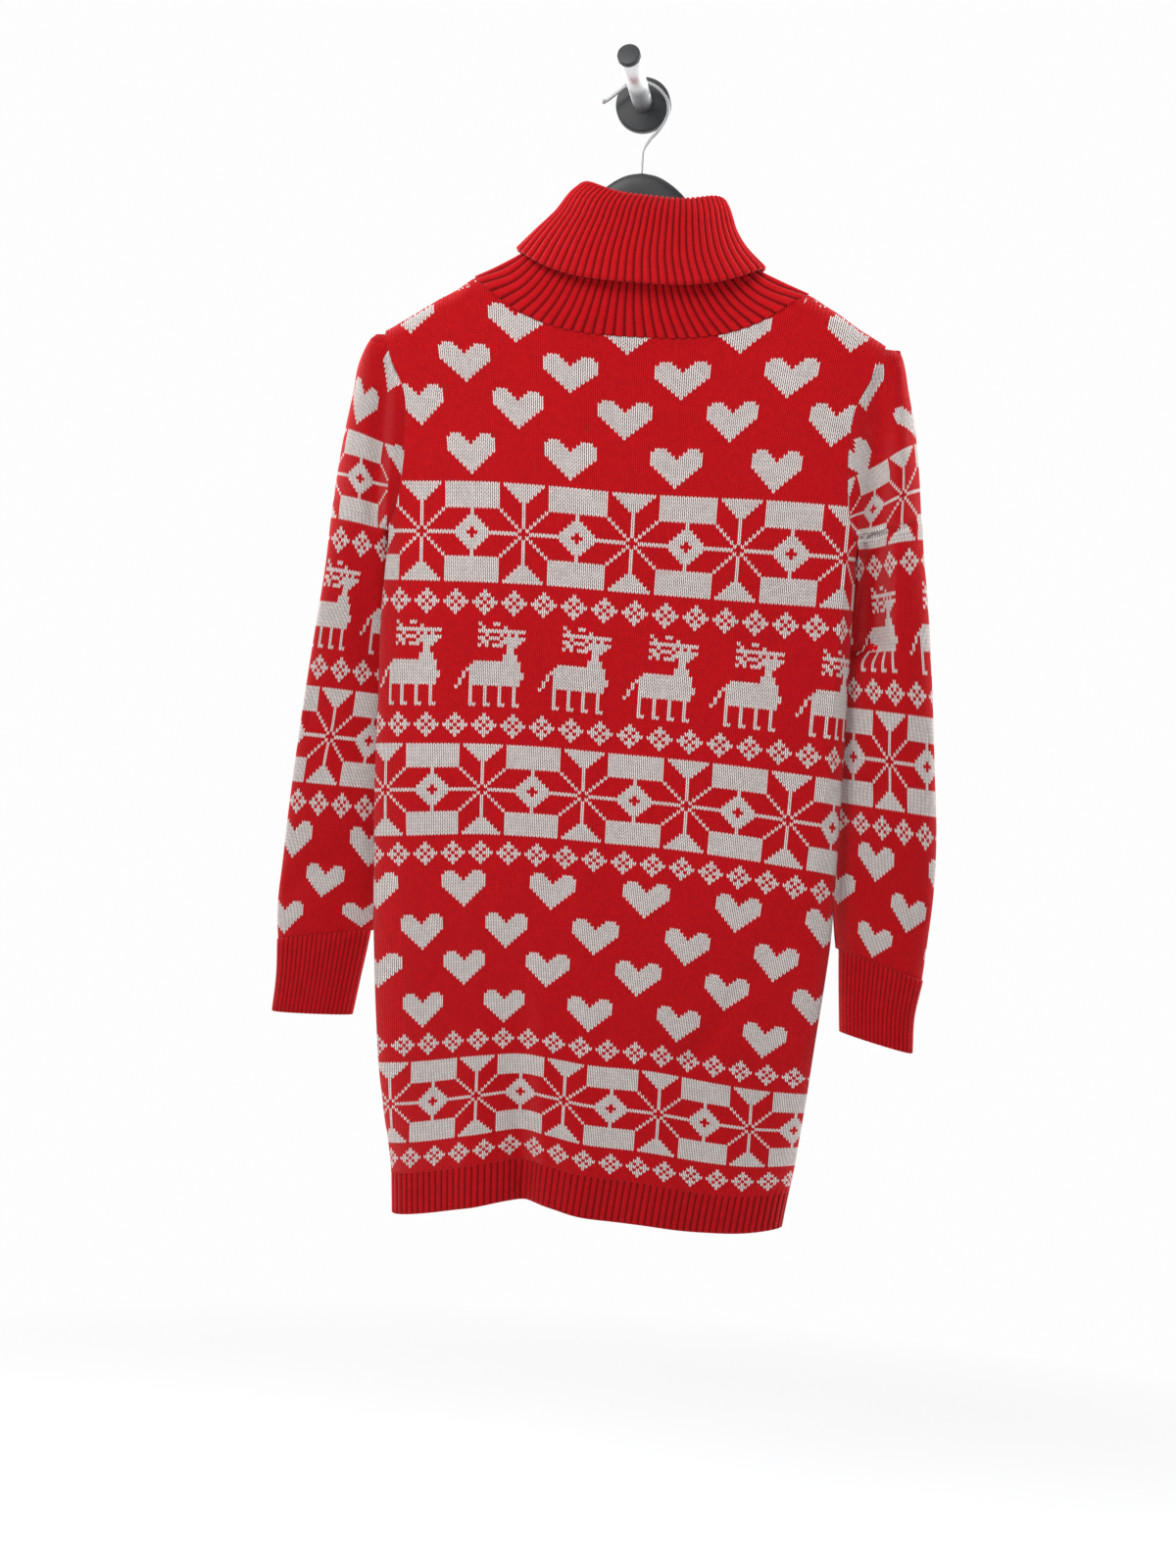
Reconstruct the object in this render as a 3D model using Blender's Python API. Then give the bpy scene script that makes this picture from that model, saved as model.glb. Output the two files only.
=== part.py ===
"""Roll-neck Christmas jumper dress on a moulded hanger that hangs from a wall peg.

Frame: the origin is the centre of the wall plate's flat back, +Z is up and the wall is the
plane y = 0. Everything lies on the room side of it, at negative y.

All sizes and tables below are in millimetres and are turned into metres when a mesh is made.
A garment point is written (across, depth, height): across is measured from the hanger's
centre line, positive to the right as the front is seen, depth is the distance from the wall,
and height is measured from the wall plate's centre.
"""

import math

import bpy
import numpy as np

MM = 0.001

# ---------------------------------------------------------------- driving dimensions
CENTRE_ACROSS = 4.0          # the hanger's centre line, beside the wall plate's centre
CLOTH = 2.2                  # thickness of the knitted wall
SEAM_GAP = 0.3               # clear gap between two sewn pieces
HANG_DEPTH = 20.0            # the hanger's plane, from the wall

NECK_CENTRE = 4.5            # the neck opening sits a little to the right
NECK_HALF = 150.5            # half the width of the neck opening
FRONT_NECK_DROP = 50.0       # how far the front neckline dips below the neck corners
BACK_NECK_DROP = 14.0
ARMPIT_HEIGHT = -397.0
SHOULDER_TIP = 226.0         # across, where the armhole meets the shoulder seam
SHOULDER_ROUND_FRONT = 20.0  # radius with which the cloth rolls over the shoulder seam
SHOULDER_ROUND_BACK = 15.0
FRONT_POWER = 2.3            # how full the front and back curves are, 2 is an ellipse
BACK_POWER = 2.8

HEM_RIB_HEIGHT = 39.0
HEM_RIBS_PER_PANEL = 68
CUFF_RIBS = 40
COLLAR_RIBS = 64
RIB_RISE = 1.1               # how far a rib stands out of its wall
COLLAR_RIB_RISE = 1.3

PLATE_RADIUS = 25.0
PLATE_THICK = 8.0
PEG_RADIUS = 9.0
PEG_REACH = 78.0             # depth of the peg's bare end
PEG_TILT = math.radians(13.4)
PEG_LEAN = math.radians(-4.6)
CAP_RADIUS = 10.2
CAP_LENGTH = 5.0
WIRE_RADIUS = 1.5

# ---------------------------------------------------------------- tables
BODY_COLUMNS = ("height", "left_half", "right_half", "front", "side", "back")
BODY = [
    (-150.0, 262.0, 262.0, 40.0, 20.0, 5.0),
    (-225.0, 262.0, 262.0, 43.0, 20.0, 5.0),
    (-280.0, 257.0, 257.0, 46.0, 21.0, 5.0),
    (-330.0, 244.0, 244.0, 49.0, 24.0, 5.0),
    (-370.0, 226.0, 226.0, 51.0, 29.0, 5.0),
    (-397.0, 211.5, 211.5, 53.0, 33.0, 5.0),
    (-430.0, 211.0, 210.5, 54.5, 36.0, 5.0),
    (-470.0, 212.0, 210.0, 56.0, 38.0, 5.0),
    (-540.0, 210.5, 209.5, 59.0, 39.0, 5.0),
    (-650.0, 208.0, 208.7, 63.0, 40.0, 5.0),
    (-700.0, 205.0, 208.0, 66.0, 41.0, 5.0),
    (-748.0, 202.5, 206.5, 69.5, 42.0, 5.0),
    (-786.0, 199.5, 203.0, 72.0, 42.0, 5.0),
    (-839.0, 194.5, 197.5, 76.0, 43.0, 5.5),
    (-880.0, 189.5, 193.5, 79.0, 44.0, 6.0),
    (-918.0, 182.5, 189.0, 82.5, 45.0, 7.0),
    (-944.0, 177.0, 186.0, 85.0, 46.0, 7.5),
    (-972.0, 172.0, 181.0, 87.0, 47.0, 8.0),
    (-1012.0, 168.5, 175.5, 88.0, 48.0, 9.0),
]

SHOULDER_COLUMNS = ("across", "height")
SHOULDER = [
    (0.0, -88.0),
    (60.0, -117.0),
    (145.0, -168.0),
    (175.0, -183.0),
    (205.0, -202.0),
    (226.0, -215.0),
    (262.0, -238.0),
]
BUMP_COLUMNS = ("across", "rise", "width")
SHOULDER_BUMPS = [(-148.0, 4.0, 10.0), (153.0, 4.0, 8.0), (201.0, -5.0, 11.0)]

ARMHOLE_COLUMNS = ("height", "across")
ARMHOLE = [
    (-215.0, 226.0),
    (-243.0, 217.0),
    (-275.0, 202.5),
    (-303.0, 199.0),
    (-345.0, 200.0),
    (-380.0, 205.0),
    (-397.0, 211.5),
]

HEM_COLUMNS = ("across", "height")
HEM_LINE = [
    (-180.0, -1010.0),
    (-160.0, -1007.0),
    (-130.0, -1001.0),
    (-95.0, -992.5),
    (-50.0, -984.0),
    (-30.0, -986.0),
    (0.0, -991.0),
    (60.0, -995.5),
    (110.0, -999.0),
    (145.0, -998.0),
    (180.0, -994.0),
]

FOLD_COLUMNS = ("across_1", "height_1", "rise_1", "across_2", "height_2", "rise_2", "width")
FRONT_FOLDS = [
    (-66.0, -800.0, -1.0, -44.0, -1000.0, -19.0, 20.0),
    (-104.0, -840.0, 1.0, -92.0, -1000.0, 5.0, 18.0),
    (-6.0, -850.0, 1.0, 4.0, -1000.0, 5.0, 20.0),
    (172.0, -735.0, -2.5, 92.0, -850.0, -4.0, 13.0),
    (120.0, -700.0, 1.5, 60.0, -800.0, 2.0, 24.0),
    (90.0, -900.0, -1.5, 112.0, -1000.0, -4.0, 22.0),
    (196.0, -290.0, -1.5, 203.0, -450.0, -3.5, 7.0),
    (-180.0, -600.0, 1.5, -168.0, -800.0, 2.5, 26.0),
]
BACK_FOLDS = [
    (-52.0, -560.0, -3.0, -74.0, -1000.0, -16.0, 24.0),
    (66.0, -460.0, -3.0, 84.0, -1000.0, -20.0, 26.0),
    (4.0, -300.0, -4.0, -6.0, -640.0, -3.0, 30.0),
    (150.0, -640.0, -3.0, 140.0, -960.0, -7.0, 20.0),
    (-150.0, -420.0, -3.0, -138.0, -760.0, -6.0, 20.0),
]

SLEEVE_CAP_COLUMNS = ("share_up", "course_rise", "outer_depth", "swell")
SLEEVE_CAP = [
    (0.00, 23.0, 25.0, 13.0),
    (0.25, 24.0, 24.5, 10.5),
    (0.50, 24.0, 24.0, 8.5),
    (0.66, 19.0, 23.0, 7.5),
    (0.79, 10.0, 22.0, 7.0),
    (0.89, 0.0, 21.5, 7.0),
    (0.951, -5.0, 21.0, 7.0),
    (0.984, -6.5, 21.0, 6.0),
    (1.00, -1.0, 20.0, 0.0),
]
SLEEVE_COLUMNS = ("outer_height", "outer_across", "outer_depth", "inner_height", "inner_across", "inner_depth", "swell")
LEFT_SLEEVE = [
    (-374.0, 265.5, 25.0, -397.0, 212.4, 33.0, 13.0),
    (-395.0, 266.8, 25.0, -411.0, 211.6, 25.5, 13.5),
    (-430.0, 269.0, 25.0, -441.0, 207.0, 18.0, 13.0),
    (-484.0, 275.0, 24.0, -490.0, 198.0, 13.0, 12.0),
    (-537.0, 281.0, 23.0, -541.0, 192.0, 11.0, 11.5),
    (-590.0, 286.0, 23.0, -592.0, 190.0, 10.5, 11.5),
    (-644.0, 290.5, 23.0, -644.0, 189.5, 10.5, 11.5),
    (-697.0, 293.8, 23.0, -696.0, 195.0, 11.0, 11.0),
    (-745.0, 296.5, 23.0, -740.0, 203.0, 12.0, 11.0),
    (-779.0, 294.0, 23.0, -774.0, 211.5, 14.0, 11.0),
]
RIGHT_SLEEVE = [
    (-372.0, 266.5, 26.0, -397.0, 212.4, 33.0, 14.0),
    (-395.0, 268.8, 26.5, -411.0, 210.3, 25.0, 15.0),
    (-430.0, 273.5, 27.0, -440.0, 206.5, 18.0, 15.5),
    (-475.0, 279.0, 27.0, -482.0, 204.0, 15.0, 16.0),
    (-530.0, 284.3, 27.0, -534.0, 203.0, 15.0, 16.0),
    (-590.0, 289.3, 27.0, -592.0, 203.0, 15.0, 16.0),
    (-650.0, 294.0, 27.0, -650.0, 205.5, 16.0, 16.0),
    (-700.0, 294.0, 27.0, -698.0, 206.5, 17.0, 15.0),
    (-735.0, 291.5, 27.0, -731.0, 209.5, 18.0, 14.0),
    (-775.0, 288.0, 27.0, -768.0, 215.0, 19.0, 13.0),
]
CUFF_COLUMNS = SLEEVE_COLUMNS
LEFT_CUFF = [
    (-779.3, 293.0, 23.0, -774.3, 212.5, 14.0, 10.5),
    (-808.0, 292.0, 23.5, -804.0, 219.0, 15.5, 11.0),
    (-839.0, 294.0, 24.0, -838.0, 224.5, 17.0, 11.0),
]
RIGHT_CUFF = [
    (-775.3, 287.0, 27.0, -768.3, 216.0, 19.0, 12.5),
    (-806.0, 281.5, 27.5, -797.0, 218.5, 19.0, 12.5),
    (-837.0, 281.5, 28.0, -823.0, 220.5, 19.5, 12.0),
]
ROUND_STEPS = (0.0, 0.05, 0.13, 0.24, 0.37, 0.5, 0.63, 0.76, 0.87, 0.95, 1.0)
OUTER_LINE_COLUMNS = ("height", "across")
LEFT_OUTER = [
    (-380.0, 265.3),
    (-344.0, 262.3),
    (-300.0, 256.5),
    (-272.0, 252.0),
    (-245.0, 248.5),
    (-230.0, 242.5),
    (-215.0, 233.5),
]
RIGHT_OUTER = [
    (-380.0, 266.5),
    (-324.0, 260.8),
    (-283.0, 254.5),
    (-255.0, 248.0),
    (-235.0, 244.0),
    (-213.0, 237.0),
]
LEFT_SLEEVE_FOLDS = [
    (-219.0, -250.0, -2.0, -219.5, -380.0, -5.0, 7.0),
    (-209.0, -270.0, 1.5, -209.0, -370.0, 3.0, 7.0),
    (-236.0, -420.0, -2.0, -222.0, -520.0, -4.0, 13.0),
    (-285.0, -560.0, -2.5, -228.0, -600.0, -3.5, 13.0),
    (-232.0, -690.0, -2.0, -280.0, -722.0, -2.5, 12.0),
]
RIGHT_SLEEVE_FOLDS = [
    (222.0, -260.0, -4.0, 227.0, -470.0, -8.0, 11.0),
    (243.0, -290.0, 2.0, 244.0, -470.0, 2.5, 9.0),
    (284.0, -560.0, -2.5, 232.0, -612.0, -4.0, 13.0),
    (236.0, -690.0, -3.0, 280.0, -716.0, -2.0, 12.0),
]

COLLAR_COLUMNS = ("centre", "half_width", "left_height", "right_height", "front_height", "back_height", "front", "side", "back")
COLLAR_STAND = [
    (3.0, 126.0, -153.0, -160.5, -198.0, -165.0, 49.5, 22.0, 6.5),
    (2.5, 99.5, -138.0, -148.0, -176.0, -152.0, 54.0, 22.0, 7.6),
    (12.5, 58.5, -86.5, -97.0, -101.0, -94.0, 54.0, 22.0, 10.5),
]
COLLAR_FOLD = [(12.5, 61.5, -80.0, -91.0, -95.5, -89.0, 57.5, 22.0, 8.5)]
COLLAR_TURN_DOWN = [
    (12.0, 65.0, -84.5, -96.5, -101.0, -94.5, 61.0, 22.0, 6.2),
    (6.0, 80.0, -104.0, -117.0, -126.0, -114.0, 63.5, 22.0, 5.0),
    (3.0, 93.5, -122.0, -134.0, -150.0, -134.0, 65.5, 22.0, 4.4),
    (3.2, 110.5, -139.5, -150.5, -174.5, -154.0, 67.0, 22.0, 4.0),
]

HANGER_COLUMNS = ("across", "top_height", "half_height", "half_depth")
HANGER = [
    (0.0, -66.3, 15.0, 4.0),
    (15.0, -69.3, 15.0, 4.0),
    (33.0, -80.6, 14.5, 4.0),
    (58.0, -108.0, 13.0, 4.0),
    (88.0, -141.0, 11.5, 4.0),
    (110.0, -158.5, 11.0, 4.0),
    (130.0, -168.5, 10.5, 4.0),
    (150.0, -175.5, 10.0, 4.0),
    (165.0, -181.3, 9.5, 4.0),
    (178.0, -188.3, 9.0, 4.0),
    (191.0, -198.7, 8.5, 4.0),
    (203.0, -212.0, 7.0, 4.0),
    (210.0, -223.0, 6.0, 3.6),
]

HOOK_COLUMNS = ("across", "height")
HOOK_ROUTE = [
    (0.0, -66.0),
    (0.0, -55.0),
    (0.6, -45.5),
    (6.0, -35.6),
    (14.0, -26.0),
    (20.2, -13.5),
    (19.0, 0.0),
    (11.5, 9.6),
    (2.6, 14.6),
    (-5.6, 15.9),
    (-13.5, 14.4),
    (-20.5, 10.6),
    (-28.0, 4.4),
    (-35.3, -1.3),
    (-40.1, -3.0),
]


# ---------------------------------------------------------------- tables and curves
def smooth(table, at):
    """Cubic curve through a table's rows, ordered by its first column: one value for each
    other column at every position in `at`. Past the ends the last straight run goes on."""
    rows = np.array(sorted(table), dtype=float)
    knots, values = rows[:, 0], rows[:, 1:]
    at = np.asarray(at, dtype=float)
    slopes = np.gradient(values, knots, axis=0)
    cell = np.clip(np.searchsorted(knots, at) - 1, 0, len(knots) - 2)
    width = knots[cell + 1] - knots[cell]
    t = ((at - knots[cell]) / width)[..., None]
    inside = np.clip(t, 0.0, 1.0)
    width = width[..., None]
    curve = (
        (2 * inside**3 - 3 * inside**2 + 1) * values[cell]
        + (inside**3 - 2 * inside**2 + inside) * width * slopes[cell]
        + (3 * inside**2 - 2 * inside**3) * values[cell + 1]
        + (inside**3 - inside**2) * width * slopes[cell + 1]
    )
    beyond = (t - inside) * width * np.where(t > 1, slopes[cell + 1], slopes[cell])
    return np.moveaxis(curve + beyond, -1, 0)


def fold_rise(across, height, folds):
    """How far the folds lift a point: each is a soft ridge or trough along a straight run."""
    rise = np.zeros(np.broadcast(across, height).shape)
    for across_1, height_1, rise_1, across_2, height_2, rise_2, width in folds:
        run = np.array([across_2 - across_1, height_2 - height_1])
        t = ((across - across_1) * run[0] + (height - height_1) * run[1]) / (run @ run)
        t = np.clip(t, 0.0, 1.0)
        away = np.hypot(across - across_1 - t * run[0], height - height_1 - t * run[1])
        rise = rise + (rise_1 + (rise_2 - rise_1) * t) * np.exp(-((away / width) ** 2))
    return rise


def shoulder_height(across):
    """Height of the shoulder line, with the small bumps that sit on it."""
    height = smooth(SHOULDER, np.abs(across))[0]
    for place, rise, width in SHOULDER_BUMPS:
        height = height + rise * np.exp(-(((across - place) / width) ** 2))
    return height


def neck_height(across, drop):
    """Height of a neckline: level with the neck corners, dipping by `drop` in the middle."""
    share = np.clip((across - NECK_CENTRE) / NECK_HALF, -1.0, 1.0)
    left = shoulder_height(NECK_CENTRE - NECK_HALF)
    right = shoulder_height(NECK_CENTRE + NECK_HALF)
    level = left + (right - left) * (share + 1) / 2
    return level - drop * (1 - np.abs(share) ** 3)


def armhole_across(height):
    """How far across the armhole's edge is; above the shoulder tip it goes no further."""
    return smooth(ARMHOLE, np.minimum(height, ARMHOLE[0][0]))[0]


def half_width(across, height):
    """Half the body's width on the side of the centre line where the point is."""
    left, right = smooth(BODY, height)[:2]
    return np.where(np.asarray(across) < 0, left, right)


def body_depth(across, height, front):
    """Depth of the body's outside at a point, on the front or the back."""
    front_depth, side_depth, back_depth = smooth(BODY, height)[2:]
    power = FRONT_POWER if front else BACK_POWER
    roll = SHOULDER_ROUND_FRONT if front else SHOULDER_ROUND_BACK
    share = np.clip(np.abs(across) / half_width(across, height), 0.0, 1.0)
    fullness = np.clip(1 - share**power, 0.0, 1.0) ** (1 / power)
    below = np.clip((shoulder_height(across) - height) / roll, 0.0, 1.0)
    closing = np.sqrt(1 - (1 - below) ** 2)
    folds = FRONT_FOLDS if front else BACK_FOLDS
    rise = fold_rise(across, height, folds) * fullness
    if front:
        return side_depth + SEAM_GAP / 2 + ((front_depth - side_depth) * fullness + rise) * closing
    return side_depth - SEAM_GAP / 2 - ((side_depth - back_depth) * fullness + rise) * closing


# ---------------------------------------------------------------- meshes
def material(name, colour, roughness, metallic=0.0):
    made = bpy.data.materials.new(name)
    made.use_nodes = True
    shader = made.node_tree.nodes["Principled BSDF"]
    shader.inputs["Base Color"].default_value = (*colour, 1.0)
    shader.inputs["Roughness"].default_value = roughness
    shader.inputs["Metallic"].default_value = metallic
    made.diffuse_color = (*colour, 1.0)
    return made


def to_world(points):
    """Garment millimetres (across, depth, height) to metres in the part's frame."""
    points = np.asarray(points, dtype=float)
    return np.stack([points[:, 0] + CENTRE_ACROSS, -points[:, 1], points[:, 2]], axis=1) * MM


def add_object(name, points, faces, finish):
    """Garment points and faces become one smooth-shaded object."""
    mesh = bpy.data.meshes.new(name)
    mesh.from_pydata(to_world(points).tolist(), [], [list(map(int, face)) for face in faces])
    mesh.validate()
    mesh.materials.append(finish)
    mesh.shade_smooth()
    mesh.set_sharp_from_angle(angle=math.radians(40))
    made = bpy.data.objects.new(name, mesh)
    bpy.context.scene.collection.objects.link(made)
    return made


def grid_faces(index):
    """Two triangles for each cell of a grid of point numbers, none where corners repeat."""
    low, low_next = index[:-1, :-1].ravel(), index[:-1, 1:].ravel()
    high, high_next = index[1:, :-1].ravel(), index[1:, 1:].ravel()
    first = np.stack([low, low_next, high_next], axis=1)
    second = np.stack([low, high_next, high], axis=1)
    faces = np.stack([first, second], axis=1).reshape(-1, 3)
    whole = [face for face in faces if len(set(face.tolist())) == 3]
    return [face.tolist() for face in whole]


def point_normals(points, faces):
    """Area-weighted normals in garment axes, turned so that they leave the cloth's face side."""
    world = to_world(points)
    normals = np.zeros_like(world)
    for face in faces:
        corners = world[face]
        side = np.cross(corners[1] - corners[0], corners[2] - corners[0])
        for corner in face:
            normals[corner] += side
    normals /= np.maximum(np.linalg.norm(normals, axis=1, keepdims=True), 1e-12)
    return normals * np.array([1.0, -1.0, 1.0])


def keep_level(normals, which, *axes):
    """At a seam the wall's edge is cut square: its normals lose their part along `axes`."""
    which = np.unique(which)
    for axis in axes:
        normals[which, axis] = 0.0
    lengths = np.linalg.norm(normals[which], axis=1, keepdims=True)
    normals[which] /= np.maximum(lengths, 1e-9)


def boundary_edges(faces):
    """Edges that only one face uses, in that face's direction."""
    used = {(face[k - 1], face[k]) for face in faces for k in range(len(face))}
    return sorted(edge for edge in used if (edge[1], edge[0]) not in used)


def cloth_wall(name, face_side, back_side, faces, finish):
    """A closed wall between the face side and the back side of a sheet, with square rims."""
    count = len(face_side)
    points = np.concatenate([face_side, back_side])
    walls = [list(face) for face in faces]
    walls += [[corner + count for corner in reversed(face)] for face in faces]
    for a, b in boundary_edges(faces):
        walls += [[b, a, a + count], [b, a + count, b + count]]
    return add_object(name, points, walls, finish)


# ---------------------------------------------------------------- front and back
def panel_columns():
    """Shares across a panel, with a column at each neck corner."""
    width = 262.0
    limit = math.asin((SHOULDER_TIP / width) ** (FRONT_POWER / 2))
    corners = []
    for across in (NECK_CENTRE - NECK_HALF, NECK_CENTRE + NECK_HALF):
        corners.append(math.copysign(math.asin((abs(across) / width) ** (FRONT_POWER / 2)) / limit, across))
    left = np.linspace(-1.0, corners[0], 7)
    middle = np.linspace(corners[0], corners[1], 13)
    right = np.linspace(corners[1], 1.0, 7)
    return np.concatenate([left, middle[1:], right[1:]])


NECK_LEFT, NECK_RIGHT = 6, 18        # the two columns that end at the neck corners


def panel_across(share, height):
    """Distance across at a share of the panel's width, at a height."""
    width = half_width(share, height)
    edge = np.where(height > ARMPIT_HEIGHT, armhole_across(height), width)
    limit = np.arcsin(np.clip((edge / width) ** (FRONT_POWER / 2), 0.0, 1.0))
    return width * np.sign(share) * np.abs(np.sin(share * limit)) ** (2 / FRONT_POWER)


def hem_height(across):
    return smooth(HEM_LINE, across)[0]


SEAM_TILTS = (0.0, 0.0, 0.0, 0.0, 0.0, 0.0, 12.0, 30.0, 55.0, 90.0)
PANEL_LEVELS = (-905.0, -862.0, -815.0, -765.0, -705.0, -630.0, -550.0, -480.0, -430.0)
ARMHOLE_LEVELS = (ARMPIT_HEIGHT, -387.0, -368.0, -340.0, -305.0)
TOP_STEPS = (62.0, 38.0, 21.0, 10.5, 4.2, 0.0)
ARMPIT_ROW = 1 + len(PANEL_LEVELS)


def panel_grid(front):
    """A panel's outside points, row by row from the hem rib to the neckline and shoulders."""
    shares = panel_columns()
    drop = FRONT_NECK_DROP if front else BACK_NECK_DROP
    inside_neck = np.zeros(len(shares), dtype=bool)
    inside_neck[NECK_LEFT + 1 : NECK_RIGHT] = True
    rows = []
    for level in (*PANEL_LEVELS, *ARMHOLE_LEVELS):
        height = np.full(len(shares), level)
        rows.append((panel_across(shares, height), height))
    height = np.full(len(shares), -950.0)
    for _ in range(8):
        across = panel_across(shares, height)
        height = hem_height(across) + HEM_RIB_HEIGHT + SEAM_GAP
    rows.insert(0, (across, height))
    for step in TOP_STEPS:
        height = np.full(len(shares), -220.0)
        for _ in range(12):
            across = panel_across(shares, height)
            top = np.where(inside_neck, neck_height(across, drop), shoulder_height(across))
            height = (height + top - step) / 2
        rows.append((across, height))
    return np.array([np.stack([a, body_depth(a, h, front), h], axis=1) for a, h in rows])


def seam_directions(front):
    """Which way the cloth's edge faces along an armhole, from the armpit up to the tip.

    The panel and the sleeve share them, so that the two edges lie flat against each other.
    """
    tilt = np.radians(SEAM_TILTS)
    out = 1.0 if front else -1.0
    return np.stack([np.zeros(len(tilt)), out * np.cos(tilt), np.sin(tilt)], axis=1)


def neck_directions(front):
    """Which way the cloth's edge faces along the neckline: level, square to the line."""
    neckline = panel_grid(front)[-1, NECK_LEFT : NECK_RIGHT + 1]
    along = np.gradient(neckline[:, :2], axis=0)
    out = 1.0 if front else -1.0
    square = np.stack([-out * along[:, 1], out * along[:, 0], np.zeros(len(along))], axis=1)
    square[[0, -1]] = [(-1.0, 0.0, 0.0), (1.0, 0.0, 0.0)]
    return square / np.linalg.norm(square, axis=1, keepdims=True)


def panel(name, front, finish):
    """Front or back: a sheet from the hem rib to the neckline, shoulders and armholes."""
    grid = panel_grid(front)
    index = np.arange(grid[..., 0].size).reshape(grid.shape[:2])
    points = grid.reshape(-1, 3)
    faces = grid_faces(index if front else index[:, ::-1])
    normals = point_normals(points, faces)
    keep_level(normals, index[: ARMPIT_ROW + 1, [0, -1]], 1)
    keep_level(normals, index[0], 2)
    shoulders = [index[-1, : NECK_LEFT + 1], index[-1, NECK_RIGHT:]]
    keep_level(normals, np.concatenate(shoulders), 1)
    normals[index[-1, NECK_LEFT + 1 : NECK_RIGHT]] = neck_directions(front)[1:-1]
    for column, side in ((0, -1.0), (-1, 1.0)):
        edge = index[ARMPIT_ROW + 1 :, column]
        directions = seam_directions(front)
        directions[:-1, 0] = side * np.maximum(normals[edge[:-1], 0] * side, 0.0)
        normals[edge] = directions / np.linalg.norm(directions, axis=1, keepdims=True)
    return cloth_wall(name, points, points - CLOTH * normals, faces, finish)


# ---------------------------------------------------------------- hem
def even_line(line, count):
    """Points along a broken line at even distances, seen from above."""
    steps = np.hypot(np.diff(line[:, 0]), np.diff(line[:, 1]))
    run = np.concatenate([[0.0], np.cumsum(steps)])
    even = np.linspace(0.0, run[-1], count)
    return np.stack([np.interp(even, run, column) for column in line.T], axis=1)


def hem(name, front, finish):
    """One panel's ribbed hem: ribs on the outside of a plain wall, sewn to the panel's edge."""
    columns = 2 * HEM_RIBS_PER_PANEL + 1
    top = even_line(panel_grid(front)[0] - [0.0, 0.0, SEAM_GAP], columns)
    fine = np.linspace(-1.0, 1.0, 1201)
    height = np.full(len(fine), -985.0)
    for _ in range(8):
        across = panel_across(fine, height)
        height = hem_height(across)
    bottom = even_line(np.stack([across, body_depth(across, height, front), height], axis=1), columns)
    grid = np.array([bottom, top])
    index = np.arange(grid[..., 0].size).reshape(grid.shape[:2])
    points = grid.reshape(-1, 3)
    faces = grid_faces(index if front else index[:, ::-1])
    normals = point_normals(points, faces)
    keep_level(normals, index, 2)
    keep_level(normals, index[:, [0, -1]], 1)
    rise = np.tile(np.where(np.arange(columns) % 2 == 1, RIB_RISE, 0.0), 2)[:, None]
    return cloth_wall(name, points + rise * normals, points - CLOTH * normals, faces, finish)


# ---------------------------------------------------------------- sleeves and cuffs
def sleeve_curve(start, outer, front, swell, quarter, shares):
    """Half a round of a sleeve, from the seam or inner edge to the outer edge.

    The depth runs straight from start to outer, plus a half round of height `swell`, plus, in
    the sleeve head (`quarter` above 0), the quarter round that leaves the seam without a bend.
    """
    across = start[0] + (outer[0] - start[0]) * shares
    height = start[2] + (outer[2] - start[2]) * shares
    half_round = np.sqrt(np.clip(1 - (2 * shares - 1) ** 2, 0.0, 1.0))
    quarter_round = np.sqrt(np.clip(1 - shares**2, 0.0, 1.0))
    reach = start[1] - outer[1]
    straight = outer[1] + reach * (1 - shares)
    headed = outer[1] + reach * quarter_round
    depth = straight * (1 - quarter) + headed * quarter
    out = 1.0 if front else -1.0
    depth = depth + out * swell * (half_round * (1 - quarter) + half_round * shares * quarter)
    return np.stack([across, depth, height], axis=1)


def sleeve_rows(side, table, outer_line):
    """Each row's front start, back start, outer point, swell and share of quarter round.

    The tube's rows start at the inner edge. The head's rows start at the armhole, at the
    same points as the body's edge, a seam's gap away.
    """
    rows = []
    for outer_height, outer_across, outer_depth, inner_height, inner_across, inner_depth, swell in sorted(table):
        inner = np.array([side * inner_across, inner_depth, inner_height])
        outer = np.array([side * outer_across, outer_depth, outer_height])
        rows.append((inner, inner, outer, swell, 0.0))
    edge = 0 if side < 0 else -1
    gap = np.array([side * 1.6 * SEAM_GAP, 0.0, 0.0])
    front_edge = panel_grid(True)[ARMPIT_ROW + 1 :, edge]
    back_edge = panel_grid(False)[ARMPIT_ROW + 1 :, edge]
    top = front_edge[-1, 2]
    for front_seam, back_seam in zip(front_edge, back_edge):
        share_up = (front_seam[2] - ARMPIT_HEIGHT) / (top - ARMPIT_HEIGHT)
        course_rise, outer_depth, swell = smooth(SLEEVE_CAP, share_up)
        outer_height = front_seam[2] + course_rise
        outer = np.array([side * smooth(outer_line, outer_height)[0], outer_depth, outer_height])
        rows.append((front_seam + gap, back_seam + gap, outer, swell, min(1.0, share_up / 0.3)))
    return rows


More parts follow.
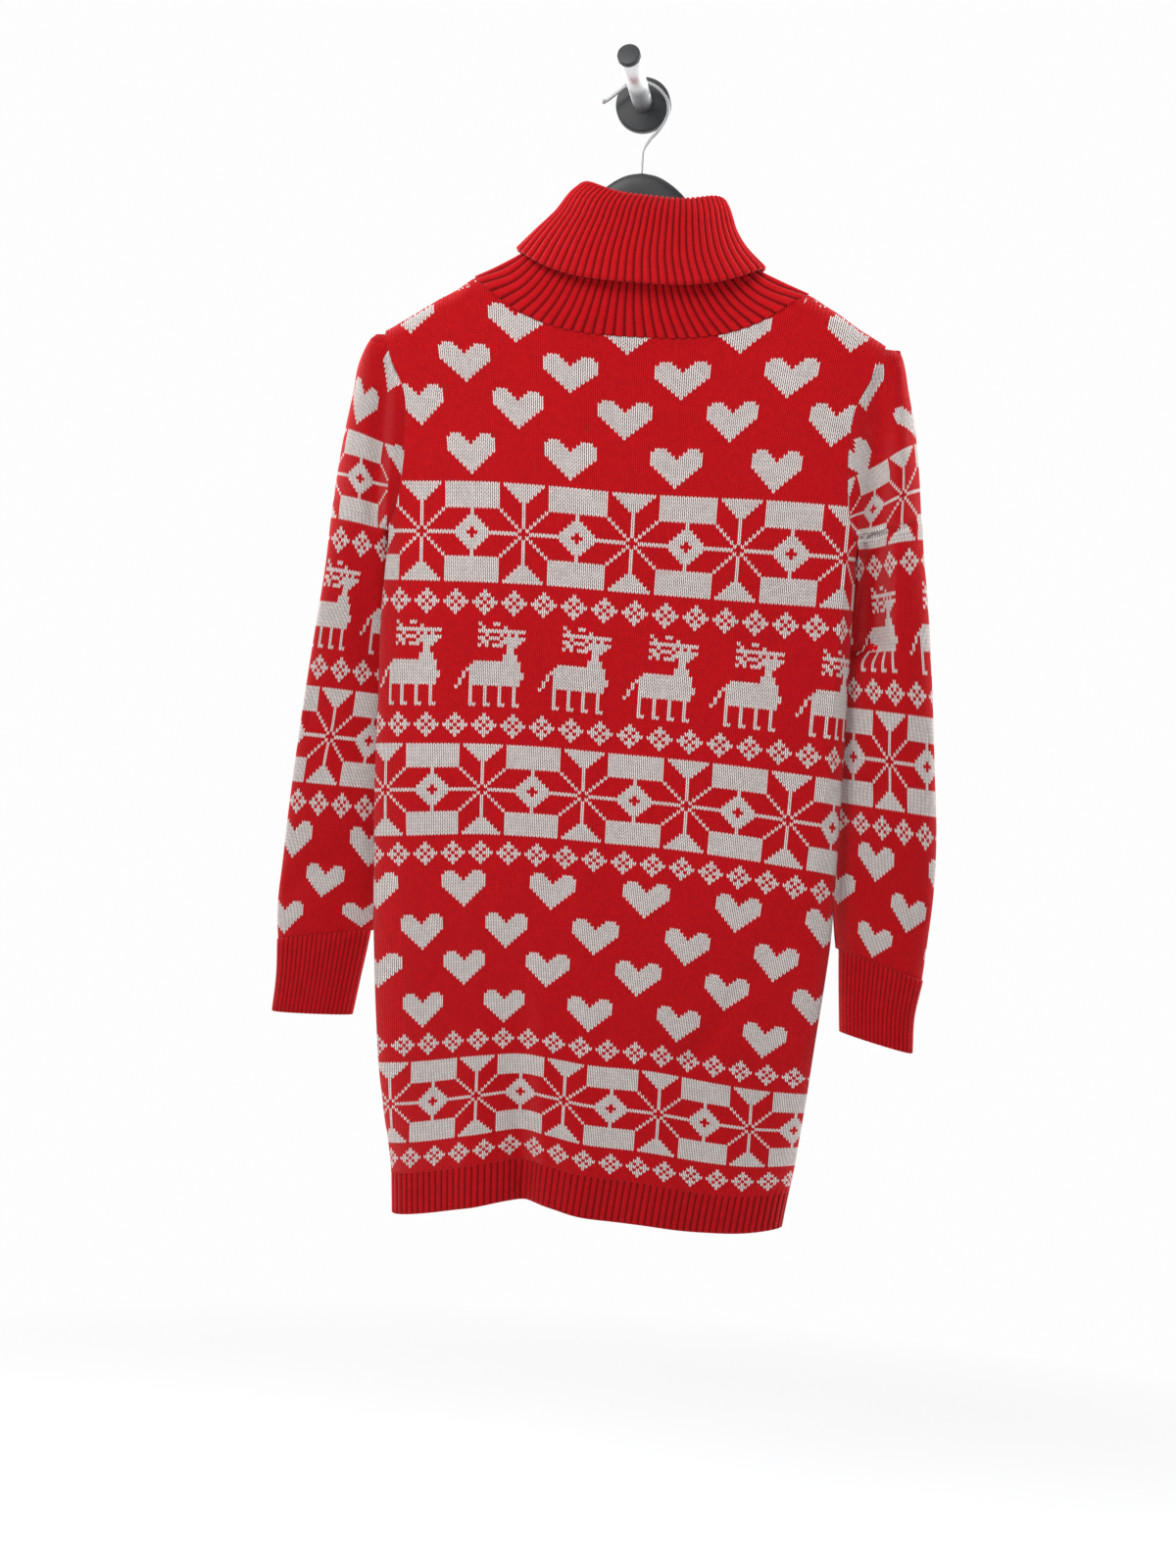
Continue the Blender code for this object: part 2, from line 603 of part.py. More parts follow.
def sleeve(name, side, table, outer_line, folds, finish):
    """A sleeve: a tube from the cuff to the armpit, and above it a head open to the armhole."""
    shares = np.array(ROUND_STEPS)
    grid = []
    for front_start, back_start, outer, swell, quarter in sleeve_rows(side, table, outer_line):
        front_half = sleeve_curve(front_start, outer, True, swell, quarter, shares)
        back_half = sleeve_curve(back_start, outer, False, swell, quarter, shares)
        clear = np.clip(np.abs(front_half[:, 0] - front_start[0]) / 8.0, 0.0, 1.0)
        edge = np.clip(np.abs(front_half[:, 0] - outer[0]) / 8.0, 0.0, 1.0)
        front_half[:, 1] += fold_rise(front_half[:, 0], front_half[:, 2], folds) * clear * edge
        grid.append(np.concatenate([front_half, back_half[-2::-1]]))
    grid = np.array(grid)
    index = np.arange(grid[..., 0].size).reshape(grid.shape[:2])
    tube = len(table)
    index[:tube, -1] = index[:tube, 0]
    index[-1, len(shares) :] = index[-1, len(shares) - 2 :: -1]
    faces = grid_faces(index[:, ::-1] if side < 0 else index)
    points, faces, renumber = drop_unused(grid.reshape(-1, 3), faces)
    normals = point_normals(points, faces)
    keep_level(normals, renumber[index[-1]], 0)
    normals[renumber[index[tube:, -1]]] = seam_directions(False)
    normals[renumber[index[tube:, 0]]] = seam_directions(True)
    keep_level(normals, renumber[index[0]], 2)
    return cloth_wall(name, points, points - CLOTH * normals, faces, finish)


def drop_unused(points, faces):
    """Leaves out the points that no face uses: the kept points, the faces and the new numbers."""
    used = np.unique(np.concatenate([np.array(face) for face in faces]))
    renumber = np.full(len(points), -1)
    renumber[used] = np.arange(len(used))
    return points[used], [[int(renumber[corner]) for corner in face] for face in faces], renumber


def cuff(name, side, table, finish):
    """A ribbed cuff: a short tube with ribs on the outside of a plain wall."""
    columns = 2 * CUFF_RIBS
    turn = np.linspace(0.0, 2 * math.pi, 721)
    rows = []
    for outer_height, outer_across, outer_depth, inner_height, inner_across, inner_depth, swell in sorted(table):
        share = (1 - np.cos(turn)) / 2
        across = side * (inner_across + (outer_across - inner_across) * share)
        height = inner_height + (outer_height - inner_height) * share
        depth = inner_depth + (outer_depth - inner_depth) * share + swell * np.sin(turn)
        rows.append(even_line(np.stack([across, depth, height], axis=1), columns + 1)[:-1])
    grid = np.array(rows)
    index = np.arange(grid[..., 0].size).reshape(grid.shape[:2])
    index = np.concatenate([index, index[:, :1]], axis=1)
    points = grid.reshape(-1, 3)
    faces = grid_faces(index[:, ::-1] if side < 0 else index)
    normals = point_normals(points, faces)
    keep_level(normals, index, 2)
    rise = np.tile(np.where(np.arange(columns) % 2 == 1, RIB_RISE, 0.0), len(rows))[:, None]
    return cloth_wall(name, points + rise * normals, points - CLOTH * normals, faces, finish)


# ---------------------------------------------------------------- collar
def collar_half(shape, front):
    """Half a round of the collar, from the left side to the right, in even steps."""
    centre, half, left, right, front_height, back_height, front_depth, side_depth, back_depth = shape
    turn = np.linspace(-math.pi / 2, math.pi / 2, 361)
    share = np.sin(turn)
    round_power = 1.0 if front else 0.6
    reach = (front_depth if front else back_depth) - side_depth
    depth = side_depth + reach * np.cos(turn) ** round_power
    level = left + (right - left) * (share + 1) / 2
    drop = (front_height if front else back_height) - (left + right) / 2
    height = level + drop * (1 - np.abs(share) ** 3)
    return even_line(np.stack([centre + half * share, depth, height], axis=1), COLLAR_RIBS + 1)


def collar_base_line(front):
    """The collar's sewn edge, a seam's gap above a panel's neckline."""
    return panel_grid(front)[-1, NECK_LEFT : NECK_RIGHT + 1] + [0.0, 0.0, 2.5 * SEAM_GAP]


def even_line_with(line, values):
    """Values given at a broken line's points, read at even distances along it."""
    return even_line(np.concatenate([line, values], axis=1), COLLAR_RIBS + 1)[:, 3:]


def collar(name, finish):
    """The ribbed roll collar, one wall: up from the neck, over at the top and down outside.

    Its ribs rise on the side that shows: outside on the stand, and on the turned-down part
    the side that was inside before it was folded over.
    """
    bases = [even_line(collar_base_line(front), COLLAR_RIBS + 1) for front in (True, False)]
    rows = [np.concatenate([bases[0][:-1], bases[1][:0:-1]])]
    for shape in (*COLLAR_STAND, *COLLAR_FOLD, *COLLAR_TURN_DOWN):
        rows.append(np.concatenate([collar_half(shape, True)[:-1], collar_half(shape, False)[:0:-1]]))
    grid = np.array(rows)
    columns = grid.shape[1]
    index = np.arange(grid[..., 0].size).reshape(grid.shape[:2])
    index = np.concatenate([index, index[:, :1]], axis=1)
    points = grid.reshape(-1, 3)
    faces = grid_faces(index)
    normals = point_normals(points, faces)
    sewn = [even_line_with(collar_base_line(front), neck_directions(front)) for front in (True, False)]
    normals[index[0, :-1]] = np.concatenate([sewn[0][:-1], sewn[1][:0:-1]])
    stand_rows = len(COLLAR_STAND)
    crest = np.where(np.arange(columns) % 2 == 1, COLLAR_RIB_RISE, 0.0)
    stand_rise = np.zeros(grid.shape[:2])
    stand_rise[0] = 0.4 * crest
    stand_rise[1:stand_rows] = crest
    turned_rise = np.zeros(grid.shape[:2])
    turned_rise[stand_rows + 2 :] = crest
    stand_side = points + (stand_rise.ravel()[:, None]) * normals
    turned_side = points - (CLOTH + turned_rise.ravel()[:, None]) * normals
    return cloth_wall(name, stand_side, turned_side, faces, finish)


# ---------------------------------------------------------------- hanger and wall peg
def hanger(name, finish):
    """The moulded hanger: an oval bar that follows the neck hump and both shoulders."""
    reach = HANGER[-1][0]
    stations = reach * np.sin(np.linspace(-math.pi / 2, math.pi / 2, 33))
    top, half_height, half_depth = smooth(HANGER, np.abs(stations))
    slope = np.gradient(top, stations)
    length = np.hypot(1.0, slope)
    turn = np.linspace(0.0, 2 * math.pi, 11)[:-1] + math.pi / 2
    rows = []
    for k, across in enumerate(stations):
        shrink = 0.55 if k in (0, len(stations) - 1) else 1.0
        lift = half_height[k] * (np.sin(turn) * shrink - 1.0)
        rows.append(np.stack([
            across - lift * slope[k] / length[k],
            HANG_DEPTH + half_depth[k] * shrink * np.cos(turn),
            top[k] + lift / length[k],
        ], axis=1))
    grid = np.array(rows)
    index = np.arange(grid[..., 0].size).reshape(grid.shape[:2])
    index = np.concatenate([index, index[:, :1]], axis=1)
    faces = grid_faces(index[:, ::-1])
    faces += [list(index[0, :-1]), list(index[-1, -2::-1])]
    return add_object(name, grid.reshape(-1, 3), faces, finish)


def smooth_route(points, steps):
    """Points on a smooth curve through the route's own points, `steps` to each run."""
    points = np.array(points, dtype=float)
    number = np.arange(len(points), dtype=float)
    at = np.linspace(0.0, len(points) - 1, (len(points) - 1) * steps + 1)
    table = [tuple([n, *point]) for n, point in zip(number, points)]
    return smooth(table, at).T


def hook(name, finish):
    """The hanger's wire hook, bent round over the peg, with a small ball at its tip."""
    route = smooth_route(HOOK_ROUTE, 2)
    curve = bpy.data.curves.new(name, "CURVE")
    curve.dimensions = "3D"
    curve.bevel_depth = WIRE_RADIUS * MM
    curve.bevel_resolution = 2
    curve.resolution_u = 1
    curve.render_resolution_u = 0
    curve.use_fill_caps = True
    spline = curve.splines.new("POLY")
    spline.points.add(len(route) - 1)
    places = to_world(np.stack([route[:, 0], np.full(len(route), HANG_DEPTH), route[:, 1]], axis=1))
    for number, (point, place) in enumerate(zip(spline.points, places)):
        point.co = (*place, 1.0)
        point.radius = 1.35 if number >= len(route) - 2 else 1.0
    curve.materials.append(finish)
    made = bpy.data.objects.new(name, curve)
    bpy.context.scene.collection.objects.link(made)
    return made


def turned(name, profile, start, direction, finish, flat_start=False):
    """A turned piece: (distance along, radius) pairs spun round an axis from `start`.

    `flat_start` cuts the first ring parallel to the wall instead of square to the axis.
    """
    direction = np.array(direction) / np.linalg.norm(direction)
    level = np.cross(direction, [0.0, 0.0, 1.0])
    level /= np.linalg.norm(level)
    upright = np.cross(level, direction)
    turn = np.linspace(0.0, 2 * math.pi, 29)[:-1]
    rows = []
    for number, (along, radius) in enumerate(profile):
        ring = np.outer(np.cos(turn), level) + np.outer(np.sin(turn), upright)
        points = np.array(start) + along * direction + radius * ring
        if flat_start and number == 0:
            points += np.outer((start[1] - points[:, 1]) / direction[1], direction)
        rows.append(points)
    grid = np.array(rows)
    index = np.arange(grid[..., 0].size).reshape(grid.shape[:2])
    index = np.concatenate([index, index[:, :1]], axis=1)
    faces = grid_faces(index)
    faces += [list(index[0, -2::-1]), list(index[-1, :-1])]
    return add_object(name, grid.reshape(-1, 3), faces, finish)


def peg_direction():
    """The peg's axis in garment axes: out from the wall, tilted up and leaning aside."""
    return np.array([math.tan(PEG_LEAN), 1.0, math.tan(PEG_TILT)])


def wall_peg(black, steel):
    """Round wall plate, bare steel peg and its black end cap."""
    centre = -CENTRE_ACROSS
    plate = [(0.0, PLATE_RADIUS), (PLATE_THICK - 2.0, PLATE_RADIUS), (PLATE_THICK - 0.6, PLATE_RADIUS - 0.8),
             (PLATE_THICK, PLATE_RADIUS - 2.2)]
    turned("wall_plate", plate, (centre, 0.0, 0.0), (0.0, 1.0, 0.0), black)
    axis = peg_direction()
    foot_depth = PLATE_THICK + SEAM_GAP
    foot = np.array([centre, 0.0, 0.0]) + axis * foot_depth
    stretch = np.linalg.norm(axis)
    length = (PEG_REACH - foot_depth) * stretch
    turned("peg", [(0.0, PEG_RADIUS), (length, PEG_RADIUS)], foot, axis, steel, flat_start=True)
    end = foot + axis / stretch * (length + SEAM_GAP)
    cap = [(0.0, CAP_RADIUS), (CAP_LENGTH - 1.2, CAP_RADIUS), (CAP_LENGTH - 0.3, CAP_RADIUS - 0.5),
           (CAP_LENGTH, CAP_RADIUS - 1.6)]
    turned("peg_cap", cap, end, axis, black)


def main():
    for old in list(bpy.data.objects):
        bpy.data.objects.remove(old, do_unlink=True)
    red_knit = material("red_knit", (0.56, 0.007, 0.012), 0.85)
    red_rib = material("red_rib", (0.50, 0.006, 0.012), 0.85)
    black = material("black_plastic", (0.02, 0.02, 0.022), 0.45)
    steel = material("satin_steel", (0.72, 0.72, 0.72), 0.28, 1.0)
    wall_peg(black, steel)
    hook("hanger_hook", steel)
    hanger("hanger_body", black)
    panel("front", True, red_knit)
    panel("back", False, red_knit)
    hem("hem_front", True, red_rib)
    hem("hem_back", False, red_rib)
    sleeve("sleeve_left", -1, LEFT_SLEEVE, LEFT_OUTER, LEFT_SLEEVE_FOLDS, red_knit)
    sleeve("sleeve_right", 1, RIGHT_SLEEVE, RIGHT_OUTER, RIGHT_SLEEVE_FOLDS, red_knit)
    cuff("cuff_left", -1, LEFT_CUFF, red_rib)
    cuff("cuff_right", 1, RIGHT_CUFF, red_rib)
    collar("collar", red_rib)


main()
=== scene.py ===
"""Looks of the roll-neck Christmas jumper dress: knitted cloth, hanger, wall peg and studio.

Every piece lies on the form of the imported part's solids. Sizes and tables are in millimetres
and become metres when a mesh is made. A garment point is (x, y, z): x across from the hanger's
centre line, positive to the right as the front is seen, y its depth from the wall and z its
height from the wall plate's centre. The knit is counted in stitches (along a course) and
courses (upwards from a rib). `front` is True for the front and False for the back, `side` is
-1 for the left and 1 for the right, and a pair that `front` chooses from is (back, front).
"""

import math
from types import SimpleNamespace

import bpy
import numpy as np
from mathutils import Matrix, Vector


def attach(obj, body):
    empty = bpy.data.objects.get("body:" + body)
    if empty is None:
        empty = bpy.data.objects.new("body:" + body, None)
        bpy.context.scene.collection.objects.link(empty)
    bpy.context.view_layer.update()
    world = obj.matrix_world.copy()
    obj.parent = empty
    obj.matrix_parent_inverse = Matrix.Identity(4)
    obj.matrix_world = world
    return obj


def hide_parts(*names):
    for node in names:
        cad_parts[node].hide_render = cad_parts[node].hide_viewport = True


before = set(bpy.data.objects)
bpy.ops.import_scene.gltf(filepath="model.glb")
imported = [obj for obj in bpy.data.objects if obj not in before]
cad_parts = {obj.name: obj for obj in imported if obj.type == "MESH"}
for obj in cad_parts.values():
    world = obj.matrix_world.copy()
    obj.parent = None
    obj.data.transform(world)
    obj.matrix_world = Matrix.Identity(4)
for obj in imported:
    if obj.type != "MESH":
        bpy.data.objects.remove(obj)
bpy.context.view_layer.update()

MM = 0.001
join = np.concatenate

# ---- sizes
CENTRE_ACROSS = 4.0
CLOTH = 2.2  # thickness of the knitted wall
TUCK = 1.2  # how far a sleeve's edge slips under the body
CLOSE_OVER = 1.0  # and a rib's top inside the knit above it
HANG_DEPTH = 20.0  # of the hook and the hanger

NECK_CENTRE = 4.5
NECK_HALF = 150.5
NECK_DROP = (14.0, 50.0)
ARMPIT_HEIGHT = -397.0
SHOULDER_TIP_HEIGHT = -215.0
SLEEVE_TOP = -219.0  # the highest a course starts at the outer edge
SHOULDER_ROUND = (15.0, 20.0)
POWER = (2.8, 2.3)  # of the body's full curve

HEM_RIBS_PER_PANEL = 68
CUFF_RIBS = 40
COLLAR_RIBS = 68
COLUMNS_PER_RIB = 10  # of points, in a hem or cuff
COLLAR_COLUMNS_PER_RIB = 8
# How far ribs stand out from the cloth, and how far the valleys between them sink.
HEM_RELIEF = (0.6, 0.2)
CUFF_RELIEF = (1.1, 0.5)
STAND_RELIEF = (1.3, 0.6)
TURN_DOWN_RELIEF = (1.4, 0.7)
CREST_POWER = 0.42  # the lower, the broader the crests
RIM_ROUND = 0.9  # how far a rim's middle stands out past its edges
HEM_RIB_TOP = 36.5
HEM_TUCK = 0.7  # how far the hem's top goes inwards
HEM_ROWS = 12
CUFF_ROWS = 16
COLLAR_ROWS = 84
ROUNDED_FROM = -135.0  # from this height up the collar's corners droop
CORNER_DROOP = 6.5
EVENNESS = 0.45  # how far the collar's rows are spread evenly by length

PANEL_STITCHES = ((-9, 137), (-4, 132))  # a panel's first and last stitch, at the side seams
SIDE_STITCHES = (5, 123)  # beyond these the stitches share what is left of the side
SIDE_BLEND = 25.0  # and so far above the armpit they go straight on instead
PANEL_COURSES = 276
SLEEVE_FIRST = -42  # a sleeve's stitches are counted from near its outer edge forwards
SLEEVE_LAST = 46
SLEEVE_COURSES = 184
HEAD_CLOSES_FROM = 178  # the sleeve's last courses close over the shoulder tip
HEAD_DEPTH = 20.0
ZIGZAG = 0.42  # how far a stitch's V reaches into the courses beside it
LINING_STEP = 4  # the lining has one point for so many of the outside's
GUESSES = 14  # repeated guesses that find a sleeve's rows
FIRST_REACH = 60.0  # the first guess of how far inwards a course runs
FOLD_MARGIN = 8.0  # a sleeve's folds fade out so near its edges
QUARTER_FROM = 0.3  # share of the way up from where a head is a quarter round
NO_EDGE = 1000.0  # further out than any stitch
NEAR = 0.05  # so near an edge a stitch is at it
APART = 0.01  # stitches closer than this are pinched together
HIDDEN_UV = 0.25  # of the linings and edges, and their tint: plain red
HIDDEN_TINT = (0.0, 0.5, 0.0)

PLATE_RADIUS = 25.0
PLATE_THICK = 8.0
PEG_RADIUS = 9.0
PEG_REACH = 78.0
PEG_TILT = math.radians(13.4)
PEG_LEAN = math.radians(-4.6)
CAP_RADIUS = 10.2
CAP_LENGTH = 5.0
WIRE_RADIUS = 1.5
TIP_RADIUS = 2.1  # of the small ball at the hook's tip

# Each piece draws how its stitches or ribs differ from a seed of its own.
SEEDS = {
    "front_knit": 3, "back_knit": 4, "sleeve_left_knit": 5, "sleeve_right_knit": 6,
    "hem_front_ribbing": 7, "hem_back_ribbing": 8, "cuff_left_ribbing": 9,
    "cuff_right_ribbing": 10, "roll_collar": 11,
}
FLECK_SEED = 20  # added to a panel's own for its white floats

# ---- form tables
# height, left half width, right half width, front depth, side depth, back depth
BODY = [
    (-150, 262, 262, 40, 20, 5),
    (-225, 262, 262, 43, 20, 5),
    (-280, 257, 257, 46, 21, 5),
    (-330, 244, 244, 49, 24, 5),
    (-370, 226, 226, 51, 29, 5),
    (-397, 211.5, 211.5, 53, 33, 5),
    (-430, 211, 210.5, 54.5, 36, 5),
    (-470, 212, 210, 56, 38, 5),
    (-540, 210.5, 209.5, 59, 39, 5),
    (-650, 208, 208.7, 63, 40, 5),
    (-700, 205, 208, 66, 41, 5),
    (-748, 202.5, 206.5, 69.5, 42, 5),
    (-786, 199.5, 203, 72, 42, 5),
    (-839, 194.5, 197.5, 76, 43, 5.5),
    (-880, 189.5, 193.5, 79, 44, 6),
    (-918, 182.5, 189, 82.5, 45, 7),
    (-944, 177, 186, 85, 46, 7.5),
    (-972, 172, 181, 87, 47, 8),
    (-1012, 168.5, 175.5, 88, 48, 9),
]
# across, height
SHOULDER = [(0, -88), (60, -117), (145, -168), (175, -183),
            (205, -202), (226, -215), (262, -238)]
# across, rise, width
SHOULDER_BUMPS = [(-148, 4, 10), (158, 1.5, 8), (201, -0.8, 11)]
# height, across
ARMHOLE = [(-215, 226), (-243, 217), (-275, 202.5), (-303, 199),
           (-345, 200), (-380, 205), (-397, 211.5)]
# across, height
HEM_LINE = [(-180, -1010), (-160, -1007), (-130, -1001), (-95, -992.5),
            (-50, -984), (-30, -986), (0, -991), (60, -995.5),
            (110, -999), (145, -998), (180, -994)]
HEM_MIDDLE = -991.0
HEM_START = -985.0  # where the guesses of the hem's height start

# Folds: across, height and rise at one end, the same at the other end, width
FRONT_FOLDS = [
    (-66, -800, -1, -44, -1000, -17, 20),
    (-62, -890, -0.5, -47, -1000, -4.5, 6),
    (-46, -760, 1, -30, -1000, 4, 10),
    (-12, -520, 1.2, -10, -740, 1.6, 12),
    (-104, -840, 1, -92, -1000, 5, 18),
    (-6, -850, 1, 4, -1000, 5, 20),
    (172, -735, -4, 92, -850, -6, 12),
    (120, -700, 1.5, 60, -800, 2, 24),
    (90, -900, -1.5, 112, -1000, -4, 22),
    (196, -290, -1.5, 203, -450, -3.5, 7),
    (-180, -600, 1.5, -168, -800, 2.5, 26),
]
BACK_FOLDS = [
    (-52, -560, -3, -74, -1000, -16, 24),
    (66, -460, -3, 84, -1000, -20, 26),
    (4, -300, -4, -6, -640, -3, 30),
    (150, -640, -3, 140, -960, -7, 20),
    (-150, -420, -3, -138, -760, -6, 20),
]

# share of the way up, course's rise, outer depth, swell
SLEEVE_CAP = [(0, 23, 25, 13), (0.25, 24, 24.5, 10.5), (0.5, 24, 24, 8.5),
              (0.66, 19, 23, 7.5), (0.79, 10, 22, 7), (0.89, 0, 21.5, 7),
              (0.951, -5, 21, 7), (0.984, -6.5, 21, 6), (1, -1, 20, 0)]
# Sleeves and cuffs: height, across and depth of the outer edge, the same of the inner edge, swell
LEFT_SLEEVE = [
    (-374, 265.5, 25, -397, 212.4, 33, 13),
    (-395, 266.8, 25, -411, 211.6, 25.5, 13.5),
    (-430, 269, 25, -441, 207, 18, 13),
    (-484, 275, 24, -490, 198, 13, 12),
    (-537, 281, 23, -541, 192, 11, 11.5),
    (-590, 286, 23, -592, 190, 10.5, 11.5),
    (-644, 290.5, 23, -644, 189.5, 10.5, 11.5),
    (-697, 293.8, 23, -696, 195, 11, 11),
    (-745, 296.5, 23, -740, 203, 12, 11),
    (-779, 294, 23, -774, 211.5, 14, 11),
]
RIGHT_SLEEVE = [
    (-372, 266.5, 26, -397, 212.4, 33, 14),
    (-395, 268.8, 26.5, -411, 210.3, 25, 15),
    (-430, 273.5, 27, -440, 206.5, 18, 15.5),
    (-475, 279, 27, -482, 204, 15, 16),
    (-530, 284.3, 27, -534, 203, 15, 16),
    (-590, 289.3, 27, -592, 203, 15, 16),
    (-650, 294, 27, -650, 205.5, 16, 16),
    (-700, 294, 27, -698, 206.5, 17, 15),
    (-735, 291.5, 27, -731, 209.5, 18, 14),
    (-775, 288, 27, -768, 215, 19, 13),
]
LEFT_CUFF = [
    (-779.3, 293, 23, -774.3, 212.5, 14, 10.5),
    (-808, 292, 23.5, -804, 219, 15.5, 11),
    (-839, 294, 24, -838, 224.5, 17, 11),
]
RIGHT_CUFF = [
    (-775.3, 287, 27, -768.3, 216, 19, 12.5),
    (-806, 281.5, 27.5, -797, 218.5, 19, 12.5),
    (-837, 281.5, 28, -823, 220.5, 19.5, 12),
]
# height, across
LEFT_OUTER = [(-380, 265.3), (-344, 262.3), (-300, 256.5), (-272, 252),
              (-245, 248.5), (-230, 242.5), (-215, 233.5)]
RIGHT_OUTER = [(-380, 266.5), (-324, 260.8), (-283, 254.5), (-255, 248),
               (-235, 244), (-213, 237)]
LEFT_SLEEVE_FOLDS = [
    (-221, -250, -3, -223.5, -390, -10, 9),
    (-209, -270, 1.5, -209, -370, 3, 7),
    (-236, -420, -2, -222, -520, -4, 13),
    (-285, -560, -2.5, -228, -600, -3.5, 13),
    (-232, -690, -2, -280, -722, -2.5, 12),
]
RIGHT_SLEEVE_FOLDS = [
    (223, -250, -6, 229, -480, -22, 14),
    (243, -290, 2, 244, -470, 2.5, 9),
    (284, -560, -2.5, 232, -612, -4, 13),
    (236, -690, -3, 280, -716, -2, 12),
]

# centre, half width, heights at the left, right, front and back, depths at front, side and back
COLLAR = [
    (3, 126, -153, -160.5, -198, -165, 49.5, 22, 6.5),
    (2.5, 99.5, -138, -148, -176, -152, 54, 22, 7.6),
    (12.5, 58.5, -82, -92, -104, -94, 54, 22, 10.5),
    # the fold, and what is turned down
    (11.5, 62.5, -75, -86, -99, -89, 57.5, 22, 8.5),
    (9.8, 67.2, -80, -91, -104, -94.5, 61, 22, 6.2),
    (6, 80, -104, -117, -126, -114, 63.5, 22, 5),
    (3, 93.5, -122, -134, -150, -134, 65.5, 22, 4.4),
    (3.2, 110.5, -139.5, -150.5, -174.5, -154, 67, 22, 4),
]
# across, top height, half height, half depth
HANGER = [
    (0, -66.3, 15, 4), (15, -69.3, 15, 4), (33, -80.6, 14.5, 4),
    (58, -108, 13, 4), (88, -141, 11.5, 4), (110, -158.5, 11, 4),
    (130, -168.5, 10.5, 4), (150, -175.5, 10, 4), (165, -181.3, 9.5, 4),
    (178, -188.3, 9, 4), (191, -198.7, 8.5, 4), (203, -212, 7, 4),
    (210, -223, 6, 3.6),
]
# across, height
HOOK_ROUTE = [
    (0, -68), (0, -55), (0.6, -45.5), (6, -35.6), (14, -26), (20.2, -13.5),
    (19, 0), (11.5, 9.6), (2.6, 14.6), (-5.6, 15.9), (-13.5, 14.4), (-20.5, 10.6),
    (-28, 4.4), (-35.3, -1.3), (-40.1, -3),
]

# ---- knit tables
# How the panels hang: along each course, where these seven stitches are.
PLACE_STITCHES = (8, 28, 46, 64, 82, 100, 120)
# course, across of each stitch
STITCH_ACROSS = [
    (0, -152.5, -96, -47, 3, 56, 107.5, 163),
    (20, -154.5, -98, -49, 3, 56.5, 108.5, 164),
    (45, -157, -100.5, -50.5, 2.5, 56.5, 108, 165.5),
    (75, -162.5, -104, -52.5, 3, 59.5, 113, 172),
    (105, -173, -110, -53, 5, 63, 120, 181),
    (150, -181.5, -115, -56, 3, 63, 122.5, 187.5),
    (190, -185, -118.5, -58, 4.5, 66, 125, 191.5),
    (212, -190, -123, -61.5, 3.5, 67, 126.5, 194.5),
    (228, -198, -129, -65.5, 2, 68.5, 130, 200),
    (246, -210.5, -137, -69.5, 0.5, 70, 136.5, 210),
    (264, -224, -144, -72, 0, 71.5, 142.5, 221),
]
# course, height of each stitch
COURSE_HEIGHT = [
    (0, -955.5, -955.5, -956.5, -956, -956, -958, -960.5),
    (20, -907, -906, -907, -907.5, -907, -909.5, -915),
    (45, -845, -842, -843, -843.5, -843, -847.5, -855.5),
    (75, -767, -763, -763.5, -763.5, -764.5, -770, -778),
    (105, -682, -678, -678.5, -679.5, -681, -685.5, -693),
    (150, -544.5, -543.5, -544.5, -546.5, -548.5, -551, -555.5),
    (190, -415.5, -416, -418, -420.5, -422, -423, -424.5),
    (212, -342.5, -342, -345, -348.5, -349, -348.5, -350.5),
    (228, -288.5, -289, -293.5, -298.5, -297, -294, -295.5),
    (246, -228.5, -231, -238.5, -243.5, -241, -235.5, -234),
    (264, -170, -177, -183.5, -187.5, -185.5, -180, -173.5),
]
# course, how much of the hem line's shape it follows
HEM_FOLLOWED = [(0, 1), (24, 0.82), (38, 0.6), (62, 0.3), (100, 0.12), (180, 0.08), (276, 0)]
# How each sleeve hangs: course, height at the outer edge, how steeply it falls inwards, the
# stitch that lies on the outer edge, a stitch's width there, what each further one loses of it
LEFT_SLEEVE_COURSES = [
    (0, -775, -0.161, 2.1, 2.61, -0.009), (22, -713.1, 0.046, 1.08, 2.64, -0.005),
    (49, -629.4, 0.038, 1.51, 2.57, -0.001), (76, -541.3, 0.071, 0.51, 2.63, 0.005),
    (100, -464, 0.084, 0.5, 2.56, 0.008), (122, -387.9, 0.18, -1.28, 2.88, 0.018),
    (149, -306.3, 0.342, -0.89, 2.71, 0.015), (164, -250.8, 0.7, -2.1, 2.56, 0.012),
    (178, -216.7, 0.22, -0.24, 2.86, -0.001), (184, -205.5, -0.104, 0.07, 2.86, 0),
]
RIGHT_SLEEVE_COURSES = [
    (0, -774.6, -0.317, 0.9, 2.43, 0.005), (22, -719.2, -0.33, 0.28, 2.42, -0.009),
    (49, -629.2, -0.099, 1.7, 2.36, -0.001), (76, -542.6, -0.079, -0.04, 2.48, 0.006),
    (100, -460.2, 0.082, 0.36, 2.57, 0.01), (122, -386, 0.21, -0.36, 2.66, 0.019),
    (149, -301.3, 0.62, -0.42, 2.45, 0.01), (164, -261.6, 0.353, 0.38, 2.74, 0.006),
    (178, -216.8, 0.211, -0.61, 2.6, 0), (184, -205.3, -0.11, 0.17, 2.6, 0),
]

